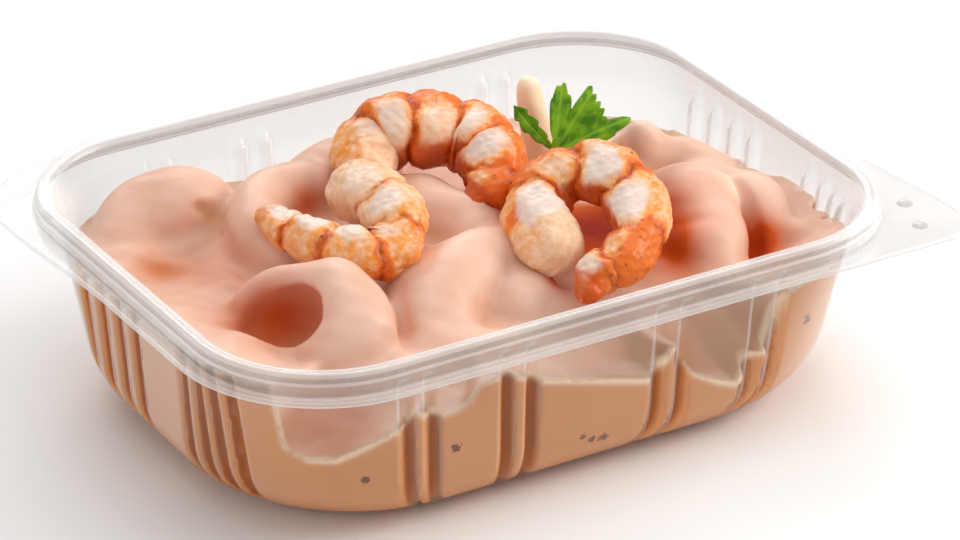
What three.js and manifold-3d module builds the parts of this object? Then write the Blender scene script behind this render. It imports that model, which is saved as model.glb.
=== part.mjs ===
// Prawn cocktail in its clear deli tray, millimetres, +Z up, standing on z = 0.
// A thermoformed tray with pressed-in ribs holds coated prawns in sauce. Three bare
// prawns and a sprig of parsley lie on top.
import * as THREE from "three";
import { mergeVertices } from "three/addons/utils/BufferGeometryUtils.js";
import Module from "manifold-3d";

const wasm = await Module();
wasm.setup();

// Tray: half sizes along X and Y, corner radii and heights of its outer face.
const SHEET = 0.8;
const FLANGE = { a: 71, b: 55.5, corner: 28, z: 33.4 };
const LEFT_EAR = { reach: 2, corner: 19, from: 0, to: 34 };
const RIGHT_EAR = { reach: 6.5, corner: 8, from: -10, to: 44 };
const RIM = { a: 67.8, b: 52.4, corner: 24.8, top: 38, land: 2.5, step: 0.4, stepDrop: 1.4 };
const BODY_TOP = { a: 65.9, b: 48.9, corner: 26 };
const BODY_BASE = { a: 63.4, b: 46.8, corner: 36.4 };
const BASE_FILLET = 12;
const NECK = 33;
const RIB = { width: 3.8, depth: 1.8, top: 30.5 };
const RIBS_LONG_SIDE = [-38.2, -33.2, -18.2, -13.1, 13.1, 18.2, 33.2, 38.2];
const RIBS_SHORT_SIDE = [-30, -25.9, -21.8, -17, 1, 7.1, 13.7, 20.2];
const CORNER_STEPS = 9;
const LEAST_TURN = 0.012; // radians between two section lines

// Filling: its clearance to the tray, and the sauce level in the middle and at the walls.
const GAP = 0.45;
const SAUCE_LEVEL = 27;
const CONTACT = { front: 19.5, left: 30, back: 23, right: 27.7 };
const SHORE = 0.36;
const TOP_RINGS = [0.94, 0.84, 0.7, 0.52, 0.28];
const TOP_POINTS = 40;
const CAVITY_TOP = 60;
const NEEDLE = 0.08; // faces narrower than this are taken out after the joins

// Whole model is moved so that the middle of its box stands over the origin.
const CENTRE_SHIFT = (LEFT_EAR.reach - RIGHT_EAR.reach) / 2;

// Prawns under the sauce: points of the middle line with the radius there.
const COATED = {
  backLeft: [
    [-54, 33.1, 24, 5.5],
    [-45.7, 36.2, 27, 7],
    [-37.9, 35.4, 29, 7.2],
    [-31.9, 33.6, 27, 5.8],
    [-33.4, 27.8, 25, 4.6],
  ],
  leftLow: [
    [-55, 33, 22, 4.6],
    [-52.9, 27, 23, 5.4],
    [-46.8, 27, 21, 4.6],
  ],
  underLeft: [
    [-16, 27.6, 30, 5.5],
    [-24.9, 26.3, 30, 6],
    [-31.1, 18.1, 29, 6],
    [-31.5, 7.7, 28, 5.4],
  ],
  hood: [
    [-49.9, -5.3, 26, 2.6],
    [-43.1, -5.5, 31, 3.4],
    [-37.2, -10.9, 33, 4.4],
    [-33, -17.4, 32, 6.4],
    [-34.6, -24.6, 29, 7.2],
    [-41.2, -24.8, 25, 6],
    [-46, -18.5, 23, 4],
    [-49, -12.4, 23, 3],
  ],
  frontMiddle: [
    [-19.8, -26.9, 24, 7],
    [-15.2, -21.8, 28, 7.4],
    [-6, -16.1, 29, 7.2],
    [2.5, -12.7, 28, 6.5],
  ],
  frontLow: [
    [3.3, -30.2, 22, 6.5],
    [-0.9, -26.8, 24, 6.5],
    [0.2, -21.7, 25, 6],
  ],
  behind: [
    [-12.5, 34.1, 28, 5],
    [-7.2, 32.1, 30, 6],
    [0.4, 31.5, 30, 6],
  ],
  tailUp: [
    [30.5, 19.2, 26, 5],
    [29, 19.6, 34, 3],
    [28, 20.1, 39, 2.1],
    [27.4, 20.7, 43, 1.4],
  ],
  backRight: [
    [47, 9.3, 27, 5],
    [45.7, 10, 33, 3.6],
    [45.7, 14.5, 28, 4],
  ],
  farRidge: [
    [44.1, 7.5, 26, 4.5],
    [51, 4.4, 28, 5],
    [54.3, -2.5, 27, 5],
  ],
  bigArc: [
    [37.4, -7, 28, 6],
    [41.5, -11.5, 30, 7],
    [41.3, -17.9, 30, 7.6],
    [37.6, -25.4, 28, 7.2],
    [33.2, -31, 25, 5.6],
  ],
  smallEnd: [
    [31, -25.6, 27, 4],
    [33.6, -28.6, 30, 3.8],
    [35.6, -31.5, 28, 3.4],
  ],
  secondArc: [
    [48.6, -4.4, 26, 6],
    [51.4, -13, 27, 7],
    [52.4, -20, 26, 6.6],
    [50.5, -25, 23, 5],
  ],
  thirdArc: [
    [53.9, -24.2, 23, 4],
    [56.6, -27.2, 25, 4],
    [58, -24.2, 22, 3.6],
  ],
  backMiddle: [
    [10, 35, 25, 6],
    [19, 38, 27, 6.5],
    [28, 33, 25, 6],
  ],
  cornerRight: [
    [55, 24, 18, 6],
    [57.5, 13, 19, 6],
    [55, 3, 20, 5.5],
  ],
  centre: [
    [-3.2, 15, 28, 7],
    [-1, 4.3, 29, 7.5],
    [0.6, -3.7, 28, 7],
  ],
};

// Bare prawns on top, from the thick end to the tail.
const BARE = {
  prawn_back: [
    [-8.2, 18.6, 37, 5],
    [-4.3, 24.4, 38.5, 5.8],
    [1.4, 22.9, 40, 6.3],
    [7.3, 19, 40, 6.4],
    [12.3, 14.3, 39, 6],
    [12.3, 7, 38, 5.4],
    [8.6, 1.6, 36, 4.6],
    [4.4, 0.3, 34, 3.2],
  ],
  prawn_left: [
    [-15.2, 10.3, 38, 5.2],
    [-14.6, 0.9, 39, 5.1],
    [-16.8, -7.5, 38, 4.8],
    [-21.2, -12, 36, 4.6],
    [-26.9, -10.5, 36, 4.5],
    [-30.4, -3.8, 36, 4],
    [-31.9, 4.4, 36, 3.3],
    [-32.8, 11.4, 36, 2.5],
  ],
  prawn_right: [
    [6.2, -23, 34, 5.3],
    [7.9, -13, 36, 5.2],
    [14, -8.7, 39, 5],
    [19.3, -10.9, 41, 5],
    [23.3, -16.1, 41, 5.1],
    [23.1, -24.4, 39, 4.9],
    [18.8, -31.9, 37, 4.4],
    [13.2, -35.2, 35, 3.8],
    [9, -34.4, 33.5, 3.6],
    [5, -36.5, 32, 2.6],
  ],
};
// Parsley: a stem standing in the sauce, and blades as tip, widest place and half width.
const STEM = [
  [22.6, 3, 24, 0.9],
  [22.8, 3.2, 33, 0.9],
  [23.2, 3.8, 38, 0.8],
  [24, 4.6, 40.4, 0.7],
];
const LEAF_ROOT = [23.2, 3.9, 38];
const LEAF_FACING = new THREE.Vector3(-0.36, -0.59, 0.72);
const LEAF_THICKNESS = 0.7;
const BLADES = [
  { tip: [29.4, 11.3, 46.9], half: 2.3, teeth: 3, bend: 0.5 },
  { tip: [33, 8.8, 46.4], half: 2.5, teeth: 3, bend: -0.3 },
  { tip: [37.9, 1.1, 42.7], half: 2.5, teeth: 3, bend: -0.7 },
  { tip: [20.2, 13.4, 44], half: 1.5, teeth: 3, bend: -0.6 },
];
const BARE_COLOURS = { prawn_back: 0xf0a070, prawn_left: 0xf4c39a, prawn_right: 0xf0a57c };
const PRAWN_SEGMENTS = 6;

const smooth = (x, from, to) => THREE.MathUtils.smoothstep(x, from, to);
const bump = (d, width) => Math.exp(-((d / width) ** 2));

// Closed mesh from rings of points: neighbouring rings may differ in their number of points.
// The first and the last ring are each closed by a fan round their middle.
function loft(rings) {
  const positions = [];
  const faces = [];
  const starts = rings.map((ring) => {
    const start = positions.length / 3;
    ring.forEach((p) => positions.push(p.x, p.y, p.z));
    return start;
  });
  const stitch = (k) => {
    const [m, n] = [rings[k].length, rings[k + 1].length];
    const [s, t] = [starts[k], starts[k + 1]];
    let [i, j] = [0, 0];
    while (i < m || j < n) {
      const a = s + (i % m);
      const b = t + (j % n);
      if (j >= n || (i < m && (i + 1) / m <= (j + 1) / n)) {
        faces.push(a, s + ((i + 1) % m), b);
        i += 1;
      } else {
        faces.push(a, t + ((j + 1) % n), b);
        j += 1;
      }
    }
  };
  for (let k = 0; k + 1 < rings.length; k += 1) stitch(k);
  const fan = (k, turned) => {
    const ring = rings[k];
    const middle = ring.reduce((sum, p) => sum.add(p), new THREE.Vector3()).divideScalar(ring.length);
    const at = positions.length / 3;
    positions.push(middle.x, middle.y, middle.z);
    ring.forEach((p, i) => {
      const pair = [starts[k] + i, starts[k] + ((i + 1) % ring.length)];
      if (turned) pair.reverse();
      faces.push(at, pair[0], pair[1]);
    });
  };
  fan(0, true);
  fan(rings.length - 1, false);
  const geometry = new THREE.BufferGeometry();
  geometry.setAttribute("position", new THREE.Float32BufferAttribute(positions, 3));
  geometry.setIndex(faces);
  return geometry;
}

// Solid for joining and cutting, and back to a geometry.
function toSolid(geometry) {
  const merged = mergeVertices(geometry, 1e-4);
  return new wasm.Manifold(
    new wasm.Mesh({
      numProp: 3,
      vertProperties: merged.getAttribute("position").array,
      triVerts: new Uint32Array(merged.index.array),
    }),
  );
}

function toGeometry(solid) {
  const mesh = solid.getMesh();
  const geometry = new THREE.BufferGeometry();
  geometry.setAttribute("position", new THREE.BufferAttribute(mesh.vertProperties, 3));
  geometry.setIndex(new THREE.BufferAttribute(mesh.triVerts, 1));
  return geometry;
}

// Point of a rounded rectangle in the direction of an angle, with its outward normal.
function outlineAt(angle, { a, b, corner }) {
  const [c, s] = [Math.abs(Math.cos(angle)), Math.abs(Math.sin(angle))];
  const [cx, cy] = [a - corner, b - corner];
  let reach;
  let normal;
  if ((a * s) / c <= cy) {
    reach = a / c;
    normal = [1, 0];
  } else if ((b * c) / s <= cx) {
    reach = b / s;
    normal = [0, 1];
  } else {
    const along = cx * c + cy * s;
    reach = along + Math.sqrt(along ** 2 - cx ** 2 - cy ** 2 + corner ** 2);
    normal = [(reach * c - cx) / corner, (reach * s - cy) / corner];
  }
  const [sx, sy] = [Math.sign(Math.cos(angle)), Math.sign(Math.sin(angle))];
  return { x: sx * reach * c, y: sy * reach * s, nx: sx * normal[0], ny: sy * normal[1] };
}

// Angles of the section lines: three for each rib and a few more round each corner.
function sectionAngles() {
  const middle = { a: (BODY_TOP.a + BODY_BASE.a) / 2, b: (BODY_TOP.b + BODY_BASE.b) / 2 };
  const lines = [];
  const addRib = (x, y, dx, dy) => {
    const half = RIB.width / 2;
    [-half, 0, half].forEach((offset) => {
      lines.push({
        angle: Math.atan2(y + dy * offset, x + dx * offset),
        rib: offset === 0 ? 1 : 0,
      });
    });
  };
  [-1, 1].forEach((side) => {
    RIBS_LONG_SIDE.forEach((x) => addRib(x, side * middle.b, 1, 0));
    RIBS_SHORT_SIDE.forEach((y) => addRib(side * ribReach(y, middle.a, middle.b), y, 0, 1));
  });
  const bend = (BODY_TOP.corner + BODY_BASE.corner) / 2;
  const first = Math.atan2(middle.b - bend, middle.a);
  const last = Math.atan2(middle.b, middle.a - BODY_TOP.corner);
  for (let k = 0; k < CORNER_STEPS; k += 1) {
    const angle = first + ((last - first) * k) / (CORNER_STEPS - 1);
    [angle, Math.PI - angle, Math.PI + angle, -angle].forEach((turned) => {
      const wrapped = Math.atan2(Math.sin(turned), Math.cos(turned));
      const clear = lines.every((line) => Math.abs(line.angle - wrapped) > LEAST_TURN);
      if (clear) lines.push({ angle: wrapped, rib: 0 });
    });
  }
  return lines.sort((p, q) => p.angle - q.angle);
}

// Distance of the short wall from the middle at a given Y, also where its corner begins.
function ribReach(y, a, b) {
  const corner = (BODY_TOP.corner + BODY_BASE.corner) / 2;
  const into = Math.max(0, Math.abs(y) - (b - corner));
  return a - corner + Math.sqrt(corner ** 2 - into ** 2);
}

const LINES = sectionAngles();

// Ring of the tray: an outline at a height, set in by an amount, with its ribs pressed in.
function ring(outline, z, inset = 0, ribShare = 0) {
  return LINES.map(({ angle, rib }) => {
    const at = outlineAt(angle, typeof outline === "function" ? outline(angle) : outline);
    const inward = inset + rib * ribShare * RIB.depth;
    return new THREE.Vector3(at.x - at.nx * inward, at.y - at.ny * inward, z);
  });
}

function bodyOutline(z) {
  const t = z / FLANGE.z;
  const mix = (key) => THREE.MathUtils.lerp(BODY_BASE[key], BODY_TOP[key], t);
  return { a: mix("a"), b: mix("b"), corner: mix("corner") };
}

// Flange outline: two corners reach out as ears for lifting a lid.
function flangeOutline(angle) {
  const [c, s] = [Math.cos(angle), Math.sin(angle)];
  const side = (FLANGE.a * s) / Math.max(Math.abs(c), 1e-6);
  const ear = c < 0 && s > 0 ? LEFT_EAR : c > 0 && s < 0.2 ? RIGHT_EAR : null;
  if (!ear) return FLANGE;
  const along = ear === LEFT_EAR ? side : -side;
  const share = smooth(along, ear.from, ear.to);
  const corner = THREE.MathUtils.lerp(FLANGE.corner, ear.corner, along > 0 ? 1 : 0);
  return { a: FLANGE.a + ear.reach * share, b: FLANGE.b, corner };
}

// Lower part of the tray's section, from the middle of the base up the wall, set in by
// an amount that is 0 on the outer face.
function lowerRings(inset) {
  const radius = BASE_FILLET - inset;
  const turns = [90, 60, 30, 0].map(THREE.MathUtils.degToRad);
  const shares = [0.35, 0.75, 1, 1];
  return turns.map((turn, k) => {
    const z = BASE_FILLET - radius * Math.sin(turn);
    return ring(bodyOutline(z), z, BASE_FILLET - radius * Math.cos(turn), shares[k]);
  });
}

function grown(outline, amount) {
  return {
    a: outline.a + amount,
    b: outline.b + amount,
    corner: outline.corner + amount,
  };
}

function makeTray() {
  const rimTop = { a: RIM.a, b: RIM.b, corner: RIM.corner };
  const land = grown(rimTop, -RIM.land);
  const stepZ = RIM.top - RIM.stepDrop;
  const outer = [
    ...lowerRings(0),
    ring(bodyOutline(RIB.top), RIB.top, 0, 1),
    ring(bodyOutline(NECK), NECK),
    ring(grown(land, SHEET), RIM.top - SHEET),
    ring(grown(rimTop, -SHEET), RIM.top - SHEET),
    ring(grown(rimTop, RIM.step - SHEET), FLANGE.z),
    ring(flangeOutline, FLANGE.z),
  ];
  const upper = [
    ring(flangeOutline, FLANGE.z + SHEET),
    ring(grown(rimTop, RIM.step), FLANGE.z + SHEET),
    ring(grown(rimTop, RIM.step), stepZ - RIM.step),
    ring(rimTop, stepZ),
    ring(rimTop, RIM.top),
    ring(land, RIM.top),
    ring(bodyOutline(NECK), NECK, SHEET),
    ring(bodyOutline(RIB.top), RIB.top, SHEET, 1),
    ...lowerRings(SHEET).reverse(),
  ];
  return loft([...outer, ...upper]);
}

// Height at which the sauce meets the wall, at a point near it.
function contactHeight(x, y) {
  const front =
    CONTACT.front +
    4 * bump(x + 38, 9) +
    7.5 * bump(x + 21.5, 5.5) +
    4 * bump(x - 17, 4) -
    5 * bump(x - 29, 6) +
    8.5 * smooth(x, 36, 48);
  const right = THREE.MathUtils.lerp(CONTACT.right, CONTACT.back, smooth(y, -6, 14));
  const ends = THREE.MathUtils.lerp(CONTACT.left, right, smooth(x, -50, 50));
  const rest = THREE.MathUtils.lerp(ends, CONTACT.back, smooth(y, 20, 44));
  return THREE.MathUtils.lerp(rest, front, smooth(-y, 36, 46));
}

// Sauce surface inside its shore, where share runs from 0 in the middle to 1 at the wall.
function sauceHeight(x, y, share) {
  const swell = 1.2 * Math.sin(x / 9 + 1) * Math.cos(y / 8);
  const rightHollow = 5 * bump(Math.hypot(x - 50, y + 26), 11);
  const hoodHollow = 4 * bump(Math.hypot(x + 44, y + 13), 8);
  const open = SAUCE_LEVEL + swell - rightHollow - hoodHollow;
  return THREE.MathUtils.lerp(open, contactHeight(x, y), smooth(share, 1 - SHORE, 1));
}

function makeSauceCore() {
  const inset = SHEET + GAP;
  const wall = lowerRings(inset);
  const shore = ring(bodyOutline(SAUCE_LEVEL), 0, inset, 1);
  shore.forEach((p) => {
    p.z = contactHeight(p.x, p.y);
  });
  const edge = bodyOutline(SAUCE_LEVEL);
  const top = TOP_RINGS.map((share) =>
    Array.from({ length: TOP_POINTS }, (_, k) => {
      const angle = LINES[0].angle + (2 * Math.PI * k) / TOP_POINTS;
      const at = outlineAt(angle, grown(edge, -inset - RIB.depth));
      const [x, y] = [at.x * share, at.y * share];
      return new THREE.Vector3(x, y, sauceHeight(x, y, share));
    }),
  );
  return loft([...wall, shore, ...top]);
}

// Space inside the tray that the filling may take.
function makeCavity() {
  const inset = SHEET + GAP;
  const mouth = { a: RIM.a - RIM.land, b: RIM.b - RIM.land, corner: RIM.corner - RIM.land };
  return loft([
    ...lowerRings(inset),
    ring(bodyOutline(RIB.top), RIB.top, inset, 1),
    ring(bodyOutline(NECK), NECK, inset),
    ring(grown(mouth, -GAP), RIM.top),
    ring(grown(mouth, -GAP), CAVITY_TOP),
  ]);
}

// Round body along a smooth middle line, with domed ends. girth varies the radius along it.
function makeBody(points, { sides, steps, grow = 0, girth = () => 1 }) {
  const path = new THREE.CatmullRomCurve3(
    points.map(([x, y, z]) => new THREE.Vector3(x, y, z)),
    false,
    "catmullrom",
    0.5,
  );
  const radii = new THREE.CatmullRomCurve3(
    points.map((p) => new THREE.Vector3(p[3], 0, 0)),
    false,
    "catmullrom",
    0.5,
  );
  const frames = frameAlong(path, steps);
  const rings = [];
  const addRing = (frame, radius, ahead) => {
    const centre = frame.at.clone().addScaledVector(frame.along, ahead);
    const points = Array.from({ length: sides }, (_, k) => {
      const turn = (2 * Math.PI * k) / sides;
      return centre
        .clone()
        .addScaledVector(frame.side, radius * Math.cos(turn))
        .addScaledVector(frame.up, radius * Math.sin(turn));
    });
    rings.push(points);
  };
  frames.forEach((frame, k) => {
    const t = k / steps;
    const radius = radii.getPoint(t).x * girth(t) + grow;
    const dome = [30, 62].map(THREE.MathUtils.degToRad);
    if (k === 0) {
      [...dome].reverse().forEach((a) => addRing(frame, radius * Math.cos(a), -radius * Math.sin(a)));
    }
    addRing(frame, radius, 0);
    if (k === steps) {
      dome.forEach((a) => addRing(frame, radius * Math.cos(a), radius * Math.sin(a)));
    }
  });
  return loft(rings);
}

// Frames along a curve that turn as little as they can.
function frameAlong(path, steps) {
  const frames = [];
  let side = null;
  for (let k = 0; k <= steps; k += 1) {
    const at = path.getPoint(k / steps);
    const along = path.getTangent(k / steps);
    if (!side) side = new THREE.Vector3(0, 0, 1).cross(along).normalize();
    side = side.clone().addScaledVector(along, -side.dot(along)).normalize();
    frames.push({ at, along, side, up: along.clone().cross(side) });
  }
  return frames;
}

// Overlapping rings of flesh along a peeled prawn.
function segmentGirth(t) {
  const phase = (t * PRAWN_SEGMENTS) % 1;
  return 0.9 + 0.13 * Math.sin(Math.PI * phase) ** 0.6;
}

function makeBarePrawn(points, grow = 0) {
  return makeBody(points, { sides: 10, steps: 4 * PRAWN_SEGMENTS, grow, girth: segmentGirth });
}

// One lobe of a leaf: a thin strip on both sides of a rib, with a toothed edge. Both faces
// are split into triangles alike.
function makeBlade({ tip, half, teeth, bend }) {
  const root = new THREE.Vector3(...LEAF_ROOT);
  const along = new THREE.Vector3(...tip).sub(root);
  const length = along.length();
  along.normalize();
  const across = new THREE.Vector3().crossVectors(along, LEAF_FACING).normalize();
  const out = new THREE.Vector3().crossVectors(across, along).normalize();
  const steps = 3 * teeth;
  const rings = [];
  for (let k = 0; k <= steps; k += 1) {
    const t = k / steps;
    const tooth = 1 - 0.26 * (((t * teeth) % 1) < 0.3 ? 1 : 0);
    const width = half * Math.max(0.18, Math.sin(Math.PI * t ** 1.5) ** 0.7 * tooth + 0.1);
    const bow = bend * Math.sin(Math.PI * t) * 2;
    const middle = root.clone().addScaledVector(along, t * length).addScaledVector(out, bow);
    const at = (side, face) =>
      middle
        .clone()
        .addScaledVector(across, side * width)
        .addScaledVector(out, 0.25 * width * Math.abs(side) + (face * LEAF_THICKNESS) / 2);
    rings.push([at(0, -1), at(-1, -1), at(-1, 1), at(0, 1), at(1, 1), at(1, -1)]);
  }
  return loft(rings);
}

function makeParsley() {
  let sprig = toSolid(makeBody(STEM, { sides: 8, steps: 6 }));
  BLADES.forEach((blade) => {
    sprig = sprig.add(toSolid(makeBlade(blade)));
  });
  return toGeometry(sprig.simplify(NEEDLE));
}

// Sauce with the coated prawns fused on. Sealed hollows are filled and loose scraps dropped.
function makeFilling() {
  let heap = toSolid(makeSauceCore());
  Object.values(COATED).forEach((points) => {
    const steps = 3 * (points.length - 1);
    heap = heap.add(toSolid(makeBody(points, { sides: 8, steps })));
  });
  heap = heap.intersect(toSolid(makeCavity()));
  Object.values(BARE).forEach((points) => {
    heap = heap.subtract(toSolid(makeBarePrawn(points, GAP)));
  });
  heap = heap.subtract(toSolid(makeBody(STEM, { sides: 8, steps: 6, grow: GAP })));
  const pieces = heap.simplify(NEEDLE).decompose();
  pieces.sort((p, q) => q.volume() - p.volume());
  return toGeometry(pieces[0]);
}

function makeMesh(name, geometry, color, roughness, more = {}) {
  const flat = geometry.toNonIndexed();
  flat.computeVertexNormals();
  const material = new THREE.MeshStandardMaterial({ color, roughness, metalness: 0, ...more });
  const mesh = new THREE.Mesh(flat, material);
  mesh.name = name;
  return mesh;
}

const cocktail = new THREE.Group();
cocktail.name = "prawn_cocktail";
cocktail.position.x = CENTRE_SHIFT;
cocktail.add(makeMesh("tray", makeTray(), 0xf2f5f6, 0.12, { transparent: true, opacity: 0.35 }));
cocktail.add(makeMesh("filling", makeFilling(), 0xe0a888, 0.45));
Object.entries(BARE).forEach(([name, points]) => {
  cocktail.add(makeMesh(name, makeBarePrawn(points), BARE_COLOURS[name], 0.4));
});
cocktail.add(makeMesh("parsley", makeParsley(), 0x3f8f1e, 0.5));

export default cocktail;
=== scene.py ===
"""Prawn cocktail in its clear ribbed deli tray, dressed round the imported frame.

Lengths in the named sizes are millimetres measured from the middle of the tray, +Z up from
the table. They are turned into metres and moved into the frame when a mesh is made. The
settings in the panel hold metres.
"""

import math

import bpy
import numpy as np
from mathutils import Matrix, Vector


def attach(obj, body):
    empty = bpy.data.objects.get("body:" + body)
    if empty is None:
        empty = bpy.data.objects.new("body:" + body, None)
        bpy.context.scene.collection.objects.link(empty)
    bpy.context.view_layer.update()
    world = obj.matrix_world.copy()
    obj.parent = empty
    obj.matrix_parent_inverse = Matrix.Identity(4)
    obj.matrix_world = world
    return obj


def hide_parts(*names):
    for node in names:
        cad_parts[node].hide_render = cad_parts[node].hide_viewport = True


bl_info = {
    "name": "Prawn Cocktail",
    "version": (1, 0, 0),
    "blender": (4, 5, 0),
    "location": "View3D > Sidebar > Cocktail",
    "description": "Clear ribbed tray of prawns in pink sauce with bare prawns and parsley on top",
    "category": "Mesh",
}

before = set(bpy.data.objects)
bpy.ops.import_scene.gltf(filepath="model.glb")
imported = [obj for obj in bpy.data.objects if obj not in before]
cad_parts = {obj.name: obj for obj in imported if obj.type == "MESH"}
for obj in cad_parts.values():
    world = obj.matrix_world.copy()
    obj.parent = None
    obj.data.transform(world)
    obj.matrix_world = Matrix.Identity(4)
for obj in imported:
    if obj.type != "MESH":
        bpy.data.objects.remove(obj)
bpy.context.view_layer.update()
MM = 0.001

# X of the tray's middle in the frame, whose origin is the middle of the whole part.
CENTRE_SHIFT = -2.25

# Tray: half sizes along X and Y, corner radii and heights of its outer face.
FLANGE = {"a": 71, "b": 55.5, "corner": 28}
FLANGE_TOP = 34.2
FLANGE_EDGE = 0.8
LEFT_EAR = {"reach": 1.95, "corner": 19, "start": 0, "stop": 34}
RIGHT_EAR = {"reach": 6.25, "corner": 8, "start": -10, "stop": 44}
RIM = {"a": 67.8, "b": 52.4, "corner": 24.8}
RIM_TOP = 38
RIM_LAND = 2.5
RIM_STEP = 0.4
STEP_TOP = 36.6
BODY_TOP = {"a": 65.9, "b": 48.9, "corner": 26}
BODY_BASE = {"a": 63.4, "b": 46.8, "corner": 36.4}
BODY_TOP_Z = 33.4
BASE_FILLET = 12
NECK = 33
RIB_TOP = 30.5
RIBS_LONG_SIDE = (13.1, 18.2, 33.2, 38.2)
RIBS_SHORT_SIDE = (-30, -25.9, -21.8, -17, 1, 7.1, 13.7, 20.2)
EAR_DOTS = ((70.4, -40.2), (67.6, -48.8), (-57.3, 49.2), (-64.4, 34.9))

# Depth of a rib by the turn of the base fillet in degrees, from the wall to the flat base.
RIB_SHARES = ((0, 1), (30, 1), (60, 0.75), (90, 0.35))

# Rings of the skin: shares of the flat base, turns of the fillet in degrees, and a dot's
# radii with their heights over the ear.
BASE_SCALES = (0.3, 0.6, 0.8, 0.92)
FILLET_TURNS = np.linspace(90, 0, 10)
DOT_RINGS = ((1.5, -0.1), (1.5, 0.1), (1.2, 0.4), (0.6, 0.55))

# Height from which the wall gets milky, and how milky it is against the rim.
MILKY_FROM = 25
MILKY_WALL = 0.6

# Coated prawns under the sauce: points of the middle line with the radius there.
COATED = {
    "back_left": ((-54, 33.1, 24, 5.5), (-45.7, 36.2, 27, 7), (-37.9, 35.4, 29, 7.2),
                  (-31.9, 33.6, 27, 5.8), (-33.4, 27.8, 25, 4.6)),
    "left_low": ((-55, 33, 22, 4.6), (-52.9, 27, 23, 5.4), (-46.8, 27, 21, 4.6)),
    "under_left": ((-16, 27.6, 30, 5.5), (-24.9, 26.3, 30, 6), (-31.1, 18.1, 29, 6),
                   (-31.5, 7.7, 28, 5.4)),
    "hood": ((-49.9, -5.3, 26, 2.6), (-43.1, -5.5, 31, 3.4), (-37.2, -10.9, 33, 4.4),
             (-33, -17.4, 32, 6.4), (-34.6, -24.6, 29, 7.2), (-41.2, -24.8, 25, 6),
             (-46, -18.5, 23, 4), (-49, -12.4, 23, 3)),
    "front_middle": ((-19.8, -26.9, 24, 7), (-15.2, -21.8, 28, 7.4), (-6, -16.1, 29, 7.2),
                     (2.5, -12.7, 28, 6.5)),
    "front_fill": ((-23.5, -28, 24, 5.8), (-19.5, -22, 27.5, 6.6), (-13, -11, 28, 6)),
    "front_low": ((3.3, -30.2, 22, 6.5), (-0.9, -26.8, 24, 6.5), (0.2, -21.7, 25, 6)),
    "behind": ((-12.5, 34.1, 28, 5), (-7.2, 32.1, 30, 6), (0.4, 31.5, 30, 6)),
    "tail_up": ((30.5, 19.2, 26, 5), (29, 19.6, 34, 3), (28, 20.1, 39, 2.1), (27.4, 20.7, 43, 1.4)),
    "back_right": ((47, 9.3, 27, 5), (45.7, 10, 33, 3.6), (45.7, 14.5, 28, 4)),
    "far_ridge": ((44.1, 7.5, 26, 4.5), (51, 4.4, 28, 5), (54.3, -2.5, 27, 5)),
    "big_arc": ((37.4, -7, 28, 6), (41.5, -11.5, 30, 7), (41.3, -17.9, 30, 7.6),
                (37.6, -25.4, 28, 7.2), (33.2, -31, 25, 5.6)),
    "small_end": ((31, -25.6, 27, 4), (33.6, -28.6, 30, 3.8), (35.6, -31.5, 28, 3.4)),
    "second_arc": ((48.6, -4.4, 26, 6), (51.4, -13, 27, 7), (52.4, -20, 26, 6.6),
                   (50.5, -25, 23, 5)),
    "third_arc": ((53.9, -24.2, 23, 4), (56.6, -27.2, 25, 4), (58, -24.2, 22, 3.6)),
    "back_middle": ((10, 35, 25, 6), (19, 38, 27, 6.5), (28, 33, 25, 6)),
    "corner_right": ((55, 24, 18, 6), (57.5, 13, 19, 6), (55, 3, 20, 5.5)),
    "centre": ((-3.2, 15, 28, 7), (-1, 4.3, 29, 7.5), (0.6, -3.7, 28, 7)),
}

# Bare prawns on top, from the thick end to the tail: middle line with the radius there.
BARE = {
    "prawn_back": ((-8.2, 18.6, 37, 5), (-4.3, 24.4, 38.5, 5.8), (1.4, 22.9, 40, 6.3),
                   (7.3, 19, 40, 6.4), (12.3, 14.3, 39, 6), (12.3, 7, 38, 5.4),
                   (8.6, 1.6, 36, 4.6), (4.4, 0.3, 34, 3.2)),
    "prawn_left": ((-15.2, 10.3, 38, 5.2), (-14.6, 0.9, 39, 5.1), (-16.8, -7.5, 38, 4.8),
                   (-21.2, -12, 36, 4.6), (-26.9, -10.5, 36, 4.5), (-30.4, -3.8, 36, 4),
                   (-31.9, 4.4, 36, 3.3), (-32.8, 11.4, 36, 2.5)),
    "prawn_right": ((6.2, -23, 34, 5.3), (7.9, -13, 36, 5.2), (14, -8.7, 39, 5),
                    (19.3, -10.9, 41, 5), (23.3, -16.1, 41, 5.1), (23.1, -24.4, 39, 4.9),
                    (18.8, -31.9, 37, 4.4), (13.2, -35.2, 35, 3.8), (9, -34.4, 33.5, 3.6),
                    (5, -36.5, 32, 2.6)),
}
PRAWN_SEGMENTS = 6

# Bare prawns' segments from the thick end to the tail: how white on top, how orange over
# the back and how dark red inside.
PALE = {
    "prawn_back": (0.6, 0.85, 0.5, 0.95, 1.1, 0.15),
    "prawn_left": (0.7, 0.9, 0.6, 0.9, 1.2, 1.2),
    "prawn_right": (1.6, 0.2, 1.3, 1.25, 0.25, 0.8),
}
BLUSH = {
    "prawn_back": (0.6, 0.95, 1, 0.85, 0.85, 1.3),
    "prawn_left": (0.25, 0.4, 0.6, 0.5, 0.45, 0.5),
    "prawn_right": (0.25, 1, 0.6, 0.5, 1.6, 1.05),
}
DEEP = {
    "prawn_back": (0.4, 1, 1.2, 1.2, 1, 1.2),
    "prawn_left": (0.5, 0.3, 0.25, 0.3, 0.5, 0.6),
    "prawn_right": (0.25, 1.1, 1.2, 1.1, 1.6, 0.9),
}

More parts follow.
